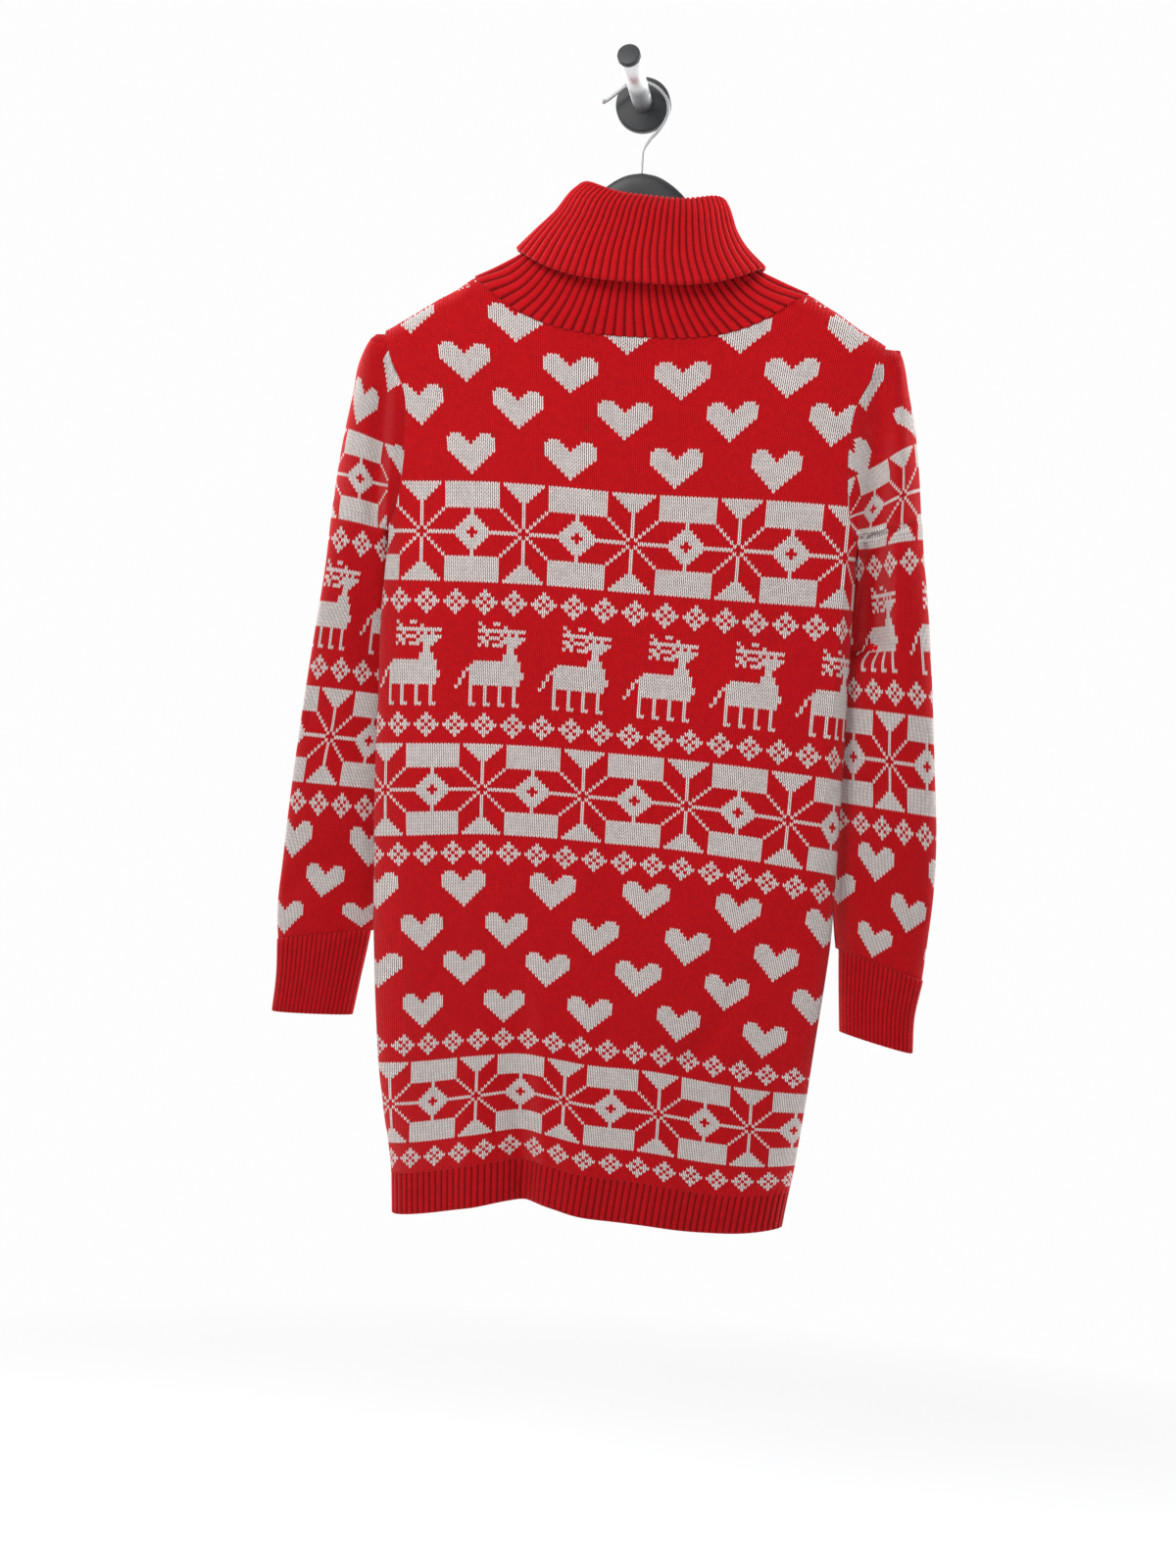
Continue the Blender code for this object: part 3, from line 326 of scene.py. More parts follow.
# Bands: motif, first course, stitch number of one of its centres
PANEL_BANDS = [
    ("small_diamonds", 2, 56), ("stars", 11, 57), ("small_diamonds", 40, 53),
    ("hearts", 49, 63), ("hearts", 62, 50), ("hearts", 74, 63), ("hearts", 87, 50),
    ("small_diamonds", 100, 53), ("stars", 109, 57), ("small_diamonds", 138, 53),
    ("reindeer", 147, 48), ("small_diamonds", 173, 60), ("stars", 182, 66),
    ("hearts", 211, 50), ("hearts", 224, 63), ("hearts", 236, 50), ("hearts", 249, 63),
]
SHOULDER_STRIP = 5.0  # plain red beside the shoulder's seam
SPECKS_ROUND_CORNER = 24.0  # where white floats show through beside the neck's corners
SPECKS_SLANT = 1.6  # how much sooner they end upwards and downwards
SPECKS_ABOVE = -190.0
SPECKS_SHARE = 0.10
LEFT_SLEEVE_BANDS = [
    ("hearts", 2, 5), ("hearts", 15, 17), ("hearts", 27, 5), ("small_diamonds", 40, 5),
    ("stars", 49, 13), ("small_diamonds", 78, 5), ("reindeer", 87, 0), ("small_diamonds", 113, 5),
    ("stars_to_seam", 122, -3), ("one_heart", 139, 30), ("hearts_to_seam", 151, 7), ("hearts", 164, 17),
]
RIGHT_SLEEVE_BANDS = [
    ("hearts", 2, -21), ("hearts", 15, -10), ("hearts", 27, -23), ("small_diamonds", 40, -5),
    ("stars", 49, -18), ("small_diamonds", 78, 0), ("reindeer", 87, -5), ("small_diamonds", 113, 0),
    ("stars", 122, -11), ("one_heart", 147, -29), ("one_heart", 151, -3), ("one_heart", 151, 23),
    ("hearts", 164, -18),
]

# The reindeer in runs counted from its hind foot: first column, last column, first row, last row
REINDEER_RUNS = [
    (0, 0, 0, 5), (4, 4, 0, 5), (8, 8, 0, 5), (12, 12, 0, 5),
    (1, 1, 0, 0), (5, 5, 0, 0), (9, 9, 0, 0), (13, 13, 0, 0),
    (0, 13, 6, 11), (1, 13, 12, 12), (9, 12, 13, 14), (14, 14, 8, 9),
    (-1, -1, 10, 10), (-2, -2, 8, 9), (-3, -3, 6, 7), (-4, -4, 5, 5),
    (10, 11, 15, 19), (12, 12, 17, 20), (13, 13, 18, 19), (14, 14, 19, 19), (10, 10, 20, 20),
    (2, 14, 21, 21), (3, 3, 22, 22), (9, 9, 22, 22), (2, 2, 23, 23), (6, 7, 23, 23),
    (4, 4, 20, 20), (8, 8, 20, 20), (2, 3, 19, 19), (5, 7, 19, 19), (9, 9, 18, 19),
    (3, 4, 18, 18), (8, 8, 17, 18), (4, 4, 17, 17), (2, 2, 17, 17), (6, 7, 17, 17),
]

LEFT = SimpleNamespace(side=-1, tube=LEFT_SLEEVE, outer=LEFT_OUTER, courses=LEFT_SLEEVE_COURSES,
                       bands=LEFT_SLEEVE_BANDS, folds=LEFT_SLEEVE_FOLDS, cuff=LEFT_CUFF)
RIGHT = SimpleNamespace(side=1, tube=RIGHT_SLEEVE, outer=RIGHT_OUTER, courses=RIGHT_SLEEVE_COURSES,
                        bands=RIGHT_SLEEVE_BANDS, folds=RIGHT_SLEEVE_FOLDS, cuff=RIGHT_CUFF)


# ---- curves
def stack(*parts):
    """Values side by side along a new last axis."""
    return np.stack(np.broadcast_arrays(*parts), axis=-1)


def unit(vectors):
    """The vectors made one long; those of no length stay so."""
    return vectors / np.maximum(np.linalg.norm(vectors, axis=-1, keepdims=True), 1e-12)


def lengths(steps):
    """How far along a line each point is, from the steps between them."""
    return join([np.zeros((*steps.shape[:-1], 1)), np.cumsum(steps, axis=-1)], axis=-1)


def full_turn(count):
    """Angles once round, in `count` even steps."""
    return np.linspace(0.0, 2 * math.pi, count + 1)[:-1]


def limited(value):
    """The value kept from 0 to 1."""
    return np.clip(value, 0.0, 1.0)


def signed_power(value, power):
    """A power of the value's size that keeps its sign."""
    return np.sign(value) * np.abs(value) ** power


def smooth(table, at):
    """Cubic curve through a table's rows, ordered by its first column: one value for each other
    column at every position in `at`. Past the ends the last straight run goes on."""
    rows = np.array(sorted(map(tuple, table)), dtype=float)
    knots, values = rows[:, 0], rows[:, 1:]
    at = np.asarray(at, dtype=float)
    slopes = np.gradient(values, knots, axis=0)
    cell = np.clip(np.searchsorted(knots, at) - 1, 0, len(knots) - 2)
    width = knots[cell + 1] - knots[cell]
    t = ((at - knots[cell]) / width)[..., None]
    inside = limited(t)
    width = width[..., None]
    curve = (
        (2 * inside**3 - 3 * inside**2 + 1) * values[cell]
        + (inside**3 - 2 * inside**2 + inside) * width * slopes[cell]
        + (3 * inside**2 - 2 * inside**3) * values[cell + 1]
        + (inside**3 - inside**2) * width * slopes[cell + 1]
    )
    beyond = (t - inside) * width * np.where(t > 1, slopes[cell + 1], slopes[cell])
    return np.moveaxis(curve + beyond, -1, 0)


def fold_rise(x, z, folds):
    """How far the folds lift a point: each by its rise times exp(-(distance from its straight
    run / width) squared)."""
    rise = np.zeros(np.broadcast(x, z).shape)
    for x_1, z_1, rise_1, x_2, z_2, rise_2, width in folds:
        run = np.array([x_2 - x_1, z_2 - z_1])
        t = limited(((x - x_1) * run[0] + (z - z_1) * run[1]) / (run @ run))
        away = np.hypot(x - x_1 - t * run[0], z - z_1 - t * run[1])
        rise = rise + (rise_1 + (rise_2 - rise_1) * t) * np.exp(-((away / width) ** 2))
    return rise


def shoulder_height(x):
    """The shoulder line, the same on both sides but for its small soft bumps."""
    z = smooth(SHOULDER, np.abs(x))[0]
    for place, rise, width in SHOULDER_BUMPS:
        z = z + rise * np.exp(-(((x - place) / width) ** 2))
    return z


def neck_height(x, front):
    """Level with the neck corners, dipping in the middle as 1 - |share| cubed."""
    share = np.clip((x - NECK_CENTRE) / NECK_HALF, -1.0, 1.0)
    left = shoulder_height(NECK_CENTRE - NECK_HALF)
    right = shoulder_height(NECK_CENTRE + NECK_HALF)
    return left + (right - left) * (share + 1) / 2 - NECK_DROP[front] * (1 - np.abs(share) ** 3)


def armhole_across(z):
    """How far out the armhole's edge is, up to the shoulder tip."""
    return smooth(ARMHOLE, np.minimum(z, SHOULDER_TIP_HEIGHT))[0]


def body_section(z, front):
    """The body's half widths left and right, its side's depth and its middle's from there."""
    left, right, front_y, side_y, back_y = smooth(BODY, z)
    return left, right, side_y, (front_y if front else back_y) - side_y


def body_depth(x, z, front):
    """Depth of the body's outside: the side's depth plus a full curve (1 - share^p)^(1/p) of the
    half width, plus the folds, closing in a quarter round at the shoulder."""
    left, right, side_y, reach = body_section(z, front)
    power = POWER[front]
    share = limited(np.abs(x) / np.where(x < 0, left, right))
    fullness = limited(1 - share**power) ** (1 / power)
    below = limited((shoulder_height(x) - z) / SHOULDER_ROUND[front])
    closing = np.sqrt(1 - (1 - below) ** 2)
    rise = fold_rise(x, z, FRONT_FOLDS if front else BACK_FOLDS) * fullness
    return side_y + (reach * fullness + (rise if front else -rise)) * closing


# ---- knit charts
def star_band(column, row):
    """Every 28 stitches an eight-pointed star drawn by its rays, with triangles above and below,
    and between two stars a diamond between two blocks."""
    a = np.abs((column + 14) % 28 - 14)
    b = np.abs(row - 13)
    white = (a == b) & (a >= 1) & (a <= 6)
    white |= (b == 0) & (a >= 2) & (a <= 8)
    white |= (a == 0) & (b >= 2) & (b <= 8)
    white |= (b >= 9) & (a <= b - 8)
    beside = 14 - a
    white |= (b >= 7) & (beside <= 7)
    white |= (b == 6) & (beside == 0)
    white |= (b <= 5) & (beside <= 5 - b) & (beside + b > 1)
    return white


def small_diamonds(column, row):
    """Four small crosses set as a diamond, 7 by 7, one every 8 stitches."""
    across, up = (column + 4) % 8 - 4, row - 3
    return np.any([np.abs(across - x) + np.abs(up - y) <= 1
                   for x, y in ((0, 2), (0, -2), (2, 0), (-2, 0))], axis=0)


def hearts(column, row):
    """A heart every 26 stitches: it widens by one stitch a side each course up to 13, and its
    lobes round off over the top three courses."""
    a = np.abs((column + 13) % 26 - 13)
    white = (row <= 7) & (a <= np.minimum(row, 6))
    for course, first, last in ((8, 1, 6), (9, 2, 6), (10, 3, 5)):
        white |= (row == course) & (a >= first) & (a <= last)
    return white


def reindeer(column, row):
    """A reindeer facing right, one every 23 stitches, filled run by run."""
    across = (column + 6) % 23 - 6
    return np.any([(across >= left) & (across <= right) & (row >= low) & (row <= high)
                   for left, right, low, high in REINDEER_RUNS], axis=0)


ALL_ROUND = (-math.inf, math.inf)
# Each motif's chart, its courses, and its first and last stitch counted from the centre.
MOTIFS = {
    "stars": (star_band, 27, *ALL_ROUND),
    "stars_to_seam": (star_band, 27, -math.inf, 26),
    "small_diamonds": (small_diamonds, 7, *ALL_ROUND),
    "hearts": (hearts, 11, *ALL_ROUND),
    "hearts_to_seam": (hearts, 11, -math.inf, 13),
    "one_heart": (hearts, 11, -6, 6),
    "reindeer": (reindeer, 24, *ALL_ROUND),
}


def chart(bands, column, row):
    """True where the pattern is knitted in the off-white yarn."""
    white = np.zeros(column.shape, dtype=bool)
    for motif, first_course, centre in bands:
        draw, courses, first, last = MOTIFS[motif]
        x, y = column - centre, row - first_course
        white |= (y >= 0) & (y < courses) & (x >= first) & (x <= last) & draw(x, y)
    return white


# ---- meshes
def placed(name, data):
    """A new object in the scene."""
    made = bpy.data.objects.new(name, data)
    bpy.context.scene.collection.objects.link(made)
    return made


def to_world(points):
    """Garment millimetres (across, depth, height) to metres in the part's frame."""
    return stack(points[..., 0] + CENTRE_ACROSS, -points[..., 1], points[..., 2]) * MM


def joined(points, per_unit, faces, *of_faces):
    """Join points that fall together when rounded, and drop triangles that lose a corner. Gives
    the points, each old one's new number, the triangles and what belongs to them."""
    _, first, number = np.unique(np.round(points * per_unit).astype(np.int64), axis=0,
                                 return_index=True, return_inverse=True)
    number = number.reshape(-1)
    faces = number[faces]
    whole = (faces != np.roll(faces, 1, axis=1)).all(axis=1)
    return points[first], number, faces[whole], *[values[whole] for values in of_faces]


def make_mesh(name, points, faces, uv, tint, finish):
    """Garment points and triangles, with each corner's uv and each face's tint, as a piece."""
    world, _, faces, uv, tint = joined(to_world(points), 1e6, faces, uv, tint)
    mesh = bpy.data.meshes.new(name)
    mesh.vertices.add(len(world))
    mesh.vertices.foreach_set("co", world.ravel())
    mesh.loops.add(faces.size)
    mesh.loops.foreach_set("vertex_index", faces.ravel())
    mesh.polygons.add(len(faces))
    mesh.polygons.foreach_set("loop_start", np.arange(0, faces.size, 3))
    mesh.polygons.foreach_set("loop_total", np.full(len(faces), 3))
    mesh.update(calc_edges=True)
    layer = mesh.uv_layers.new(name="stitches")
    layer.data.foreach_set("uv", uv.ravel().astype(np.float32))
    colours = mesh.color_attributes.new(name="yarn", type="FLOAT_COLOR", domain="CORNER")
    corner_tint = np.ones((len(faces), 3, 4), dtype=np.float32)
    corner_tint[:, :, :3] = tint[:, None, :]
    colours.data.foreach_set("color", corner_tint.ravel())
    mesh.materials.append(finish)
    mesh.shade_smooth()
    made = placed(name, mesh)
    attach(made, "root")
    return made


def cell_triangles(rows, columns, wrap_rows=False, wrap_columns=False):
    """Two triangles for each cell of a grid of points, each corner's (column, row), and each
    triangle's row and column."""
    up, along = rows - (not wrap_rows), columns - (not wrap_columns)
    row, column = np.divmod(np.arange(up * along), along)
    low, low_next, high, high_next = (
        at_row * columns + at_column
        for at_row in (row, (row + 1) % rows) for at_column in (column, (column + 1) % columns))
    faces = stack(low, low_next, high_next, low, high_next, high).reshape(-1, 3)
    corners = np.array([(0, 0), (1, 0), (1, 1), (0, 0), (1, 1), (0, 1)])
    uv = (stack(column, row)[:, None] + corners).reshape(-1, 3, 2).astype(float)
    return faces, uv, np.repeat(row, 2), np.repeat(column, 2)


def joined_normals(points, faces):
    """Unit normal of each point: the sum of its triangles' normals, each as long as its area."""
    a, b, c = (points[faces[:, k]] for k in range(3))
    area = np.cross(b - a, c - a)
    total = np.zeros_like(points)
    for axis in range(3):
        for corner in range(3):
            total[:, axis] += np.bincount(faces[:, corner], area[:, axis], len(points))
    return unit(total)


def lining_faces(rows, columns):
    """The grid's triangles seen from behind, coarse inside; its rim's points fan out to the
    nearest of the coarse grid."""
    index = np.arange(rows * columns).reshape(rows, columns)
    coarse = index[LINING_STEP:-1:LINING_STEP, LINING_STEP:-1:LINING_STEP]
    inner = coarse.ravel()[cell_triangles(*coarse.shape)[0]]
    rim = join([index[0, :-1], index[:-1, -1], index[-1, :0:-1], index[:0:-1, 0]])
    near_row, near_column = (
        np.clip(np.round(place / LINING_STEP).astype(int), 1, count) - 1
        for place, count in zip(np.divmod(rim, columns), coarse.shape))
    near = coarse[near_row, near_column]
    rim_next, near_next = np.roll(rim, -1), np.roll(near, -1)
    fans = [stack(rim, rim_next, near), stack(rim_next, near_next, near)]
    return join([inner, *fans])[:, ::-1]


def knit_mesh(name, points, bands, first_stitch, finish, plain=None, specks=None):
    """A shell of stockinette. Outside, two columns of cells for each stitch and a row for each
    course, coloured by the chart, each stitch a little lighter or darker. Inside, a coarser
    lining lies the cloth's thickness behind, and a strip closes each edge."""
    rows, columns = points.shape[:2]
    faces, uv, row, column = cell_triangles(rows, columns)
    stitch = first_stitch + column // 2
    white = chart(bands, stitch, row)
    # How many of a stitch's four neighbours are white: it tints the painted shade in a white stitch's
    # gaps.
    beside = sum(chart(bands, stitch + right, row + up).astype(float)
                 for right, up in ((-1, 0), (1, 0), (0, -1), (0, 1))) / 4
    tone = np.random.default_rng(SEEDS[name]).random((rows, columns // 2 + 1))
    if plain is not None:
        draws = np.random.default_rng(SEEDS[name] + FLECK_SEED).random(len(row))
        fleck = specks[row, column] & (draws < SPECKS_SHARE)
        white = (white & ~plain[row, column]) | fleck
    tint = stack(white, tone[row, column // 2], beside)
    uv[..., 0] = uv[..., 0] / 2 + first_stitch
    points, number, faces, uv, tint = joined(points.reshape(-1, 3), 1000, faces, uv, tint)
    count = len(points)
    behind = points + CLOTH * joined_normals(points, faces)
    edges = join([faces[:, [0, 1]], faces[:, [1, 2]], faces[:, [2, 0]]])
    low, high = np.sort(edges, axis=1).T
    _, where, uses = np.unique(low * count + high, return_index=True, return_counts=True)
    begin, end = edges[where[uses == 1]].T
    hidden = join([
        number[lining_faces(rows, columns)] + count,
        stack(end, begin, begin + count),
        stack(end, begin + count, end + count),
    ])
    return make_mesh(
        name, join([points, behind]), join([faces, hidden]),
        join([uv, np.full((len(hidden), 3, 2), HIDDEN_UV)]),
        join([tint, np.full((len(hidden), 3), HIDDEN_TINT)]), finish)


def zigzagged(points, free):
    """Columns move up or down in turn by part of a course, which gives the stitches their V.
    Points that aren't `free`, at an edge, stay where they are."""
    ahead = join([points[1:], points[-1:]])
    behind = join([points[:1], points[:-1]])
    up = (np.arange(points.shape[1]) % 2 == 0)[None, :, None]
    return points + ZIGZAG * free[..., None] * np.where(up, ahead - points, behind - points)


# ---- front and back panels
def in_two_ways(table, course, stitch):
    """A table of courses by stitches as a smooth surface: cubic curves one way, then the other."""
    return smooth(np.column_stack([PLACE_STITCHES, smooth(table, course)]), stitch)


def side_across(z, start, share, side, front):
    """Across of points a `share` of the way, by length, from `start` to the seam along the
    body's full curve."""
    left, right, _, reach = body_section(z, front)
    half = right if side > 0 else left
    turn = np.linspace(0.0, math.pi / 2, 301)
    x = half[:, None] * np.sin(turn) ** (2 / POWER[front])
    y = reach[:, None] * np.cos(turn) ** (2 / POWER[front])
    run = lengths(np.hypot(np.diff(x, axis=1), np.diff(y, axis=1)))
    rows = []
    for k, begin in enumerate(np.minimum(side * start, half)):
        at = np.interp(begin, x[k], run[k])
        rows.append(np.interp(at + (run[k, -1] - at) * share, run[k], x[k]))
    return side * np.array(rows)


def stopped(room, *grids):
    """Along each row the grids' values stay as they are where `room` falls below zero. Gives
    which of them stay, and the grids."""
    gone = room < 0
    some = gone.any(axis=1)
    last = np.where(some, np.argmax(gone, axis=1), room.shape[1] - 1)
    row = np.arange(len(room))
    before, after = room[row, last - 1], room[row, last]
    part = np.where(some, before / (before - after), 1.0)
    cut = np.arange(room.shape[1]) >= last[:, None]
    ends = [values[row, last - 1] * (1 - part) + values[row, last] * part for values in grids]
    return cut, *[np.where(cut, end[:, None], values) for end, values in zip(ends, grids)]


def panel_top(x, front):
    """Height of the neckline, and beside it of the shoulder line."""
    in_neck = np.abs(x - NECK_CENTRE) < NECK_HALF
    return np.where(in_neck, neck_height(x, front), shoulder_height(x))


def panel_places(front):
    """Across and height of every half stitch of every course, and which lie clear of an edge.
    They follow the two tables and, near the hem, its line too. Below the armpit the stitches at
    the sides share the way to the seam. All stop at armhole, shoulder and neckline."""
    course = np.arange(PANEL_COURSES + 1.0)
    first, last = PANEL_STITCHES[front]
    stitch = np.arange(2 * first, 2 * last + 1) / 2
    x = in_two_ways(STITCH_ACROSS, course, stitch)
    z = in_two_ways(COURSE_HEIGHT, course, stitch)
    strips = []
    for side, begin, seam in zip((-1, 1), SIDE_STITCHES, (first, last)):
        edge = side * stitch > side * begin
        start = 2 * (begin - first)
        start_z = z[:, start]
        share = (stitch[edge] - begin) / (seam - begin)
        above = limited((start_z - ARMPIT_HEIGHT) / SIDE_BLEND)[:, None]
        to_seam = side_across(start_z, x[:, start], share, side, front)
        x[:, edge] = to_seam * (1 - above) + x[:, edge] * above
        half = int(side > 0)
        old_half = smooth(BODY, start_z)[half][:, None]
        strips.append((half, edge, share * (1 - above), old_half))
    follow = smooth(HEM_FOLLOWED, course)[0][:, None]
    z = z + follow * (smooth(HEM_LINE, x)[0] - HEM_MIDDLE)
    for half, edge, part, old_half in strips:
        new_half = smooth(BODY, z[:, edge])[half]
        x[:, edge] *= 1 + part * (new_half / old_half - 1)
    for side in (-1, 1):
        edge = np.where(z > ARMPIT_HEIGHT, armhole_across(z), NO_EDGE)
        half = (slice(None), slice(x.shape[1] // 2, None, side))
        room = (edge - side * x)[half]
        _, x[half], z[half] = stopped(room, x[half], z[half])
    room = panel_top(x, front) - z
    cut, x = (grid.T for grid in stopped(room.T, x.T))
    z = np.where(cut, panel_top(x, front), z)
    edge = np.abs(x) > armhole_across(z) - NEAR
    free = ~cut & ~(edge & (z > ARMPIT_HEIGHT - 1.0))
    free[0] = False
    free[:, [0, -1]] = False
    return x, z, free


def panel(name, front, finish):
    """Front or back panel, on the solid's form."""
    x, z, free = panel_places(front)
    points = zigzagged(stack(x, body_depth(x, z, front), z), free)
    if not front:
        points = points[:, ::-1]
    from_neck = np.abs(x - NECK_CENTRE) - NECK_HALF
    below = shoulder_height(x) - z
    plain = (from_neck >= 0) & (below < SHOULDER_STRIP)
    specks = np.abs(from_neck) + SPECKS_SLANT * np.abs(below) < SPECKS_ROUND_CORNER
    specks &= z > SPECKS_ABOVE
    return knit_mesh(name, points, PANEL_BANDS, PANEL_STITCHES[front][0], finish, plain, specks)


# ---- sleeves
def sleeve_guide(arm, start_z, front):
    """For rows named by the height where they start, at the inner edge or above the armpit at
    the armhole: the outer edge, where it starts, its swell and its share of quarter round."""
    by_start = np.array(arm.tube)[:, [3, 0, 1, 2, 4, 5, 6]]
    tube = smooth(by_start, np.minimum(start_z, ARMPIT_HEIGHT))
    share_up = limited((start_z - ARMPIT_HEIGHT) / (SHOULDER_TIP_HEIGHT - ARMPIT_HEIGHT))
    rise, outer_y, swell = smooth(SLEEVE_CAP, share_up)
    seam = armhole_across(start_z)
    seam_y = body_depth(arm.side * seam, start_z, front)
    outer_z = start_z + rise
    outer = smooth(arm.outer, outer_z)[0]
    head = [outer_z, outer, outer_y, seam, seam_y, swell]
    rows = np.where(start_z > ARMPIT_HEIGHT, head, tube)
    return [*rows, limited(share_up / QUARTER_FROM)]


def sleeve_depth(arm, x, z, front):
    """Depth of the sleeve's outside: repeated guesses find a point's row and its share of the
    way across, then the row's half round gives the depth."""
    start = z
    for _ in range(GUESSES):
        guide = sleeve_guide(arm, start, front)
        outer_z, outer_x, outer_y, start_x, start_y, swell, quarter = guide
        share = limited((x - start_x) / (outer_x - start_x))
        start = z - (outer_z - start) * share
    half_round = np.sqrt(limited(1 - (2 * share - 1) ** 2))
    quarter_round = np.sqrt(limited(1 - share**2))
    straight = outer_y + (start_y - outer_y) * (1 - share)
    headed = outer_y + (start_y - outer_y) * quarter_round
    y = straight * (1 - quarter) + headed * quarter
    out = 1.0 if front else -1.0
    y = y + out * swell * (half_round * (1 - quarter) + half_round * share * quarter)
    if front:
        clear = limited((x - start_x) / FOLD_MARGIN)
        edge = limited((outer_x - x) / FOLD_MARGIN)
        y = y + fold_rise(arm.side * x, z, arm.folds) * clear * edge
    return y


def course_line(arm, outer_z, drop, front):
    """Each course as a fine line that falls by `drop` for each millimetre inwards from the outer
    edge, until it meets the seam or the inner edge."""
    outer_z = np.minimum(outer_z, SLEEVE_TOP)
    tube = [row[:2] for row in arm.tube]
    outer = np.where(outer_z < tube[0][0], smooth(tube, outer_z), smooth(arm.outer, outer_z))[0]
    reach = np.full(len(outer), FIRST_REACH)
    for _ in range(GUESSES):
        start = sleeve_guide(arm, outer_z - drop * reach, front)[3]
        reach = outer - start + (TUCK if front else 0.0)
    inwards = reach[:, None] * (1 - np.cos(np.linspace(0.0, math.pi, 241))) / 2
    x = outer[:, None] - inwards
    z = outer_z[:, None] - drop[:, None] * inwards
    return stack(arm.side * x, sleeve_depth(arm, x, z, front), z)


def sleeve(name, arm, finish):
    """A sleeve knitted round: a course runs from the back's inner edge or armhole over the outer
    edge to the front's, and stitch s lies width s - narrowing s^2 / 2 along it from there."""
    course = np.arange(SLEEVE_COURSES + 1.0)
    outer_z, drop, turn, width, narrowing = smooth(arm.courses, course)
    back, front = (course_line(arm, outer_z, drop, half) for half in (False, True))
    line = join([back[:, :0:-1], front], axis=1)
    run = lengths(np.linalg.norm(np.diff(line, axis=1), axis=-1))
    run -= run[:, [back.shape[1] - 1]]
    stitch = np.arange(2 * SLEEVE_FIRST, 2 * SLEEVE_LAST + 1) / 2
    points = []
    for k in range(len(run)):
        away = stitch + arm.side * turn[k]
        place = width[k] * away - narrowing[k] * np.maximum(away, 0.0) ** 2 / 2
        points.append(stack(*(np.interp(place, run[k], values) for values in line[k].T)))
    points = np.array(points)[:, ::-arm.side]
    closing = (course - HEAD_CLOSES_FROM) / (SLEEVE_COURSES - HEAD_CLOSES_FROM)
    closing = limited(closing)[:, None] ** 2
    points[..., 1] += closing * (HEAD_DEPTH - points[..., 1])
    beside = np.linalg.norm(np.diff(points, axis=1), axis=-1) > APART
    free = np.pad(beside, ((0, 0), (1, 0))) & np.pad(beside, ((0, 0), (0, 1)))
    free[[0, -1]] = False
    first_stitch = SLEEVE_FIRST if arm.side < 0 else -SLEEVE_LAST
    return knit_mesh(name, zigzagged(points, free), arm.bands, first_stitch, finish)


# ---- ribs
def even_line(line, count):
    """Points along a broken line at even distances, seen from above."""
    run = lengths(np.hypot(np.diff(line[:, 0]), np.diff(line[:, 1])))
    even = np.linspace(0.0, run[-1], count)
    return stack(*(np.interp(even, run, values) for values in line.T))


def grid_normals(points, closed):
    """Unit normals of a grid of garment points: along the columns crossed with up the rows."""
    if closed:
        along = np.roll(points, -1, axis=1) - np.roll(points, 1, axis=1)
    else:
        along = np.gradient(points, axis=1)
    return unit(np.cross(np.gradient(points, axis=0), along))


def rib_lift(columns, ribs, closed, relief):
    """How far ribs lift each column: from -sink in the narrow valleys to rise on the broad
    crests, as (1/2 - 1/2 cos(2 pi rib)) to a small power."""
    rise, sink = relief
    rib = np.arange(columns) / (columns if closed else columns - 1) * ribs
    crest = (0.5 + 0.5 * np.cos(2 * math.pi * (rib + 0.5))) ** CREST_POWER
    return ((rise + sink) * crest - sink)[None, :, None]


def rib_mesh(name, loop, ribs, closed, finish):
    """A ribbed wall from rows of points round its section, each rib a little lighter or darker,
    with a fan over each end if it isn't closed."""
    columns = loop.shape[1]
    faces, uv, row, column = cell_triangles(len(loop), columns, True, closed)
    uv[..., 0] = uv[..., 0] / (columns / ribs)
    tone = np.random.default_rng(SEEDS[name]).random((len(loop), ribs + 1))
    tint = stack(0.0, tone[row, column * ribs // columns], 0.0)
    if not closed:
        ring = np.arange(1, len(loop) - 1) * columns
        faces = join([faces, stack(0, ring, ring + columns),
                      stack(ring + columns, ring, 0) + columns - 1])
        uv = np.pad(uv, ((0, 2 * len(ring)), (0, 0), (0, 0)))
        tint = np.pad(tint, ((0, 2 * len(ring)), (0, 0)))
    return make_mesh(name, loop.reshape(-1, 3), faces, uv, tint, finish)


def rib_band(name, points, ribs, relief, closed, finish):
    """A ribbed wall: `points` lifted by the ribs outside, a cloth's thickness behind inside, and
    both rims rounded."""
    normals = grid_normals(points, closed)
    outer = points + rib_lift(points.shape[1], ribs, closed, relief) * normals
    inner = points - CLOTH * normals
    top, bottom = (
        (outer[end] + inner[end]) / 2 + RIM_ROUND * unit(points[end] - points[beside])
        for end, beside in ((-1, -2), (0, 1)))
    loop = join([outer, top[None], inner[::-1], bottom[None]])
    return rib_mesh(name, loop, ribs, closed, finish)


def panel_edge_line(front, course_z):
    """The body's outline seen from above, along a line whose height follows the hem line."""
    fine = np.linspace(-1.0, 1.0, 1601)
    z = np.full(len(fine), HEM_START)
    for _ in range(8):
        left, right = smooth(BODY, z)[:2]
        outline = signed_power(np.sin(fine * math.pi / 2), 2 / POWER[front])
        x = np.where(fine < 0, left, right) * outline
        z = smooth(HEM_LINE, x)[0] + course_z
    return stack(x, body_depth(x, z, front), z)


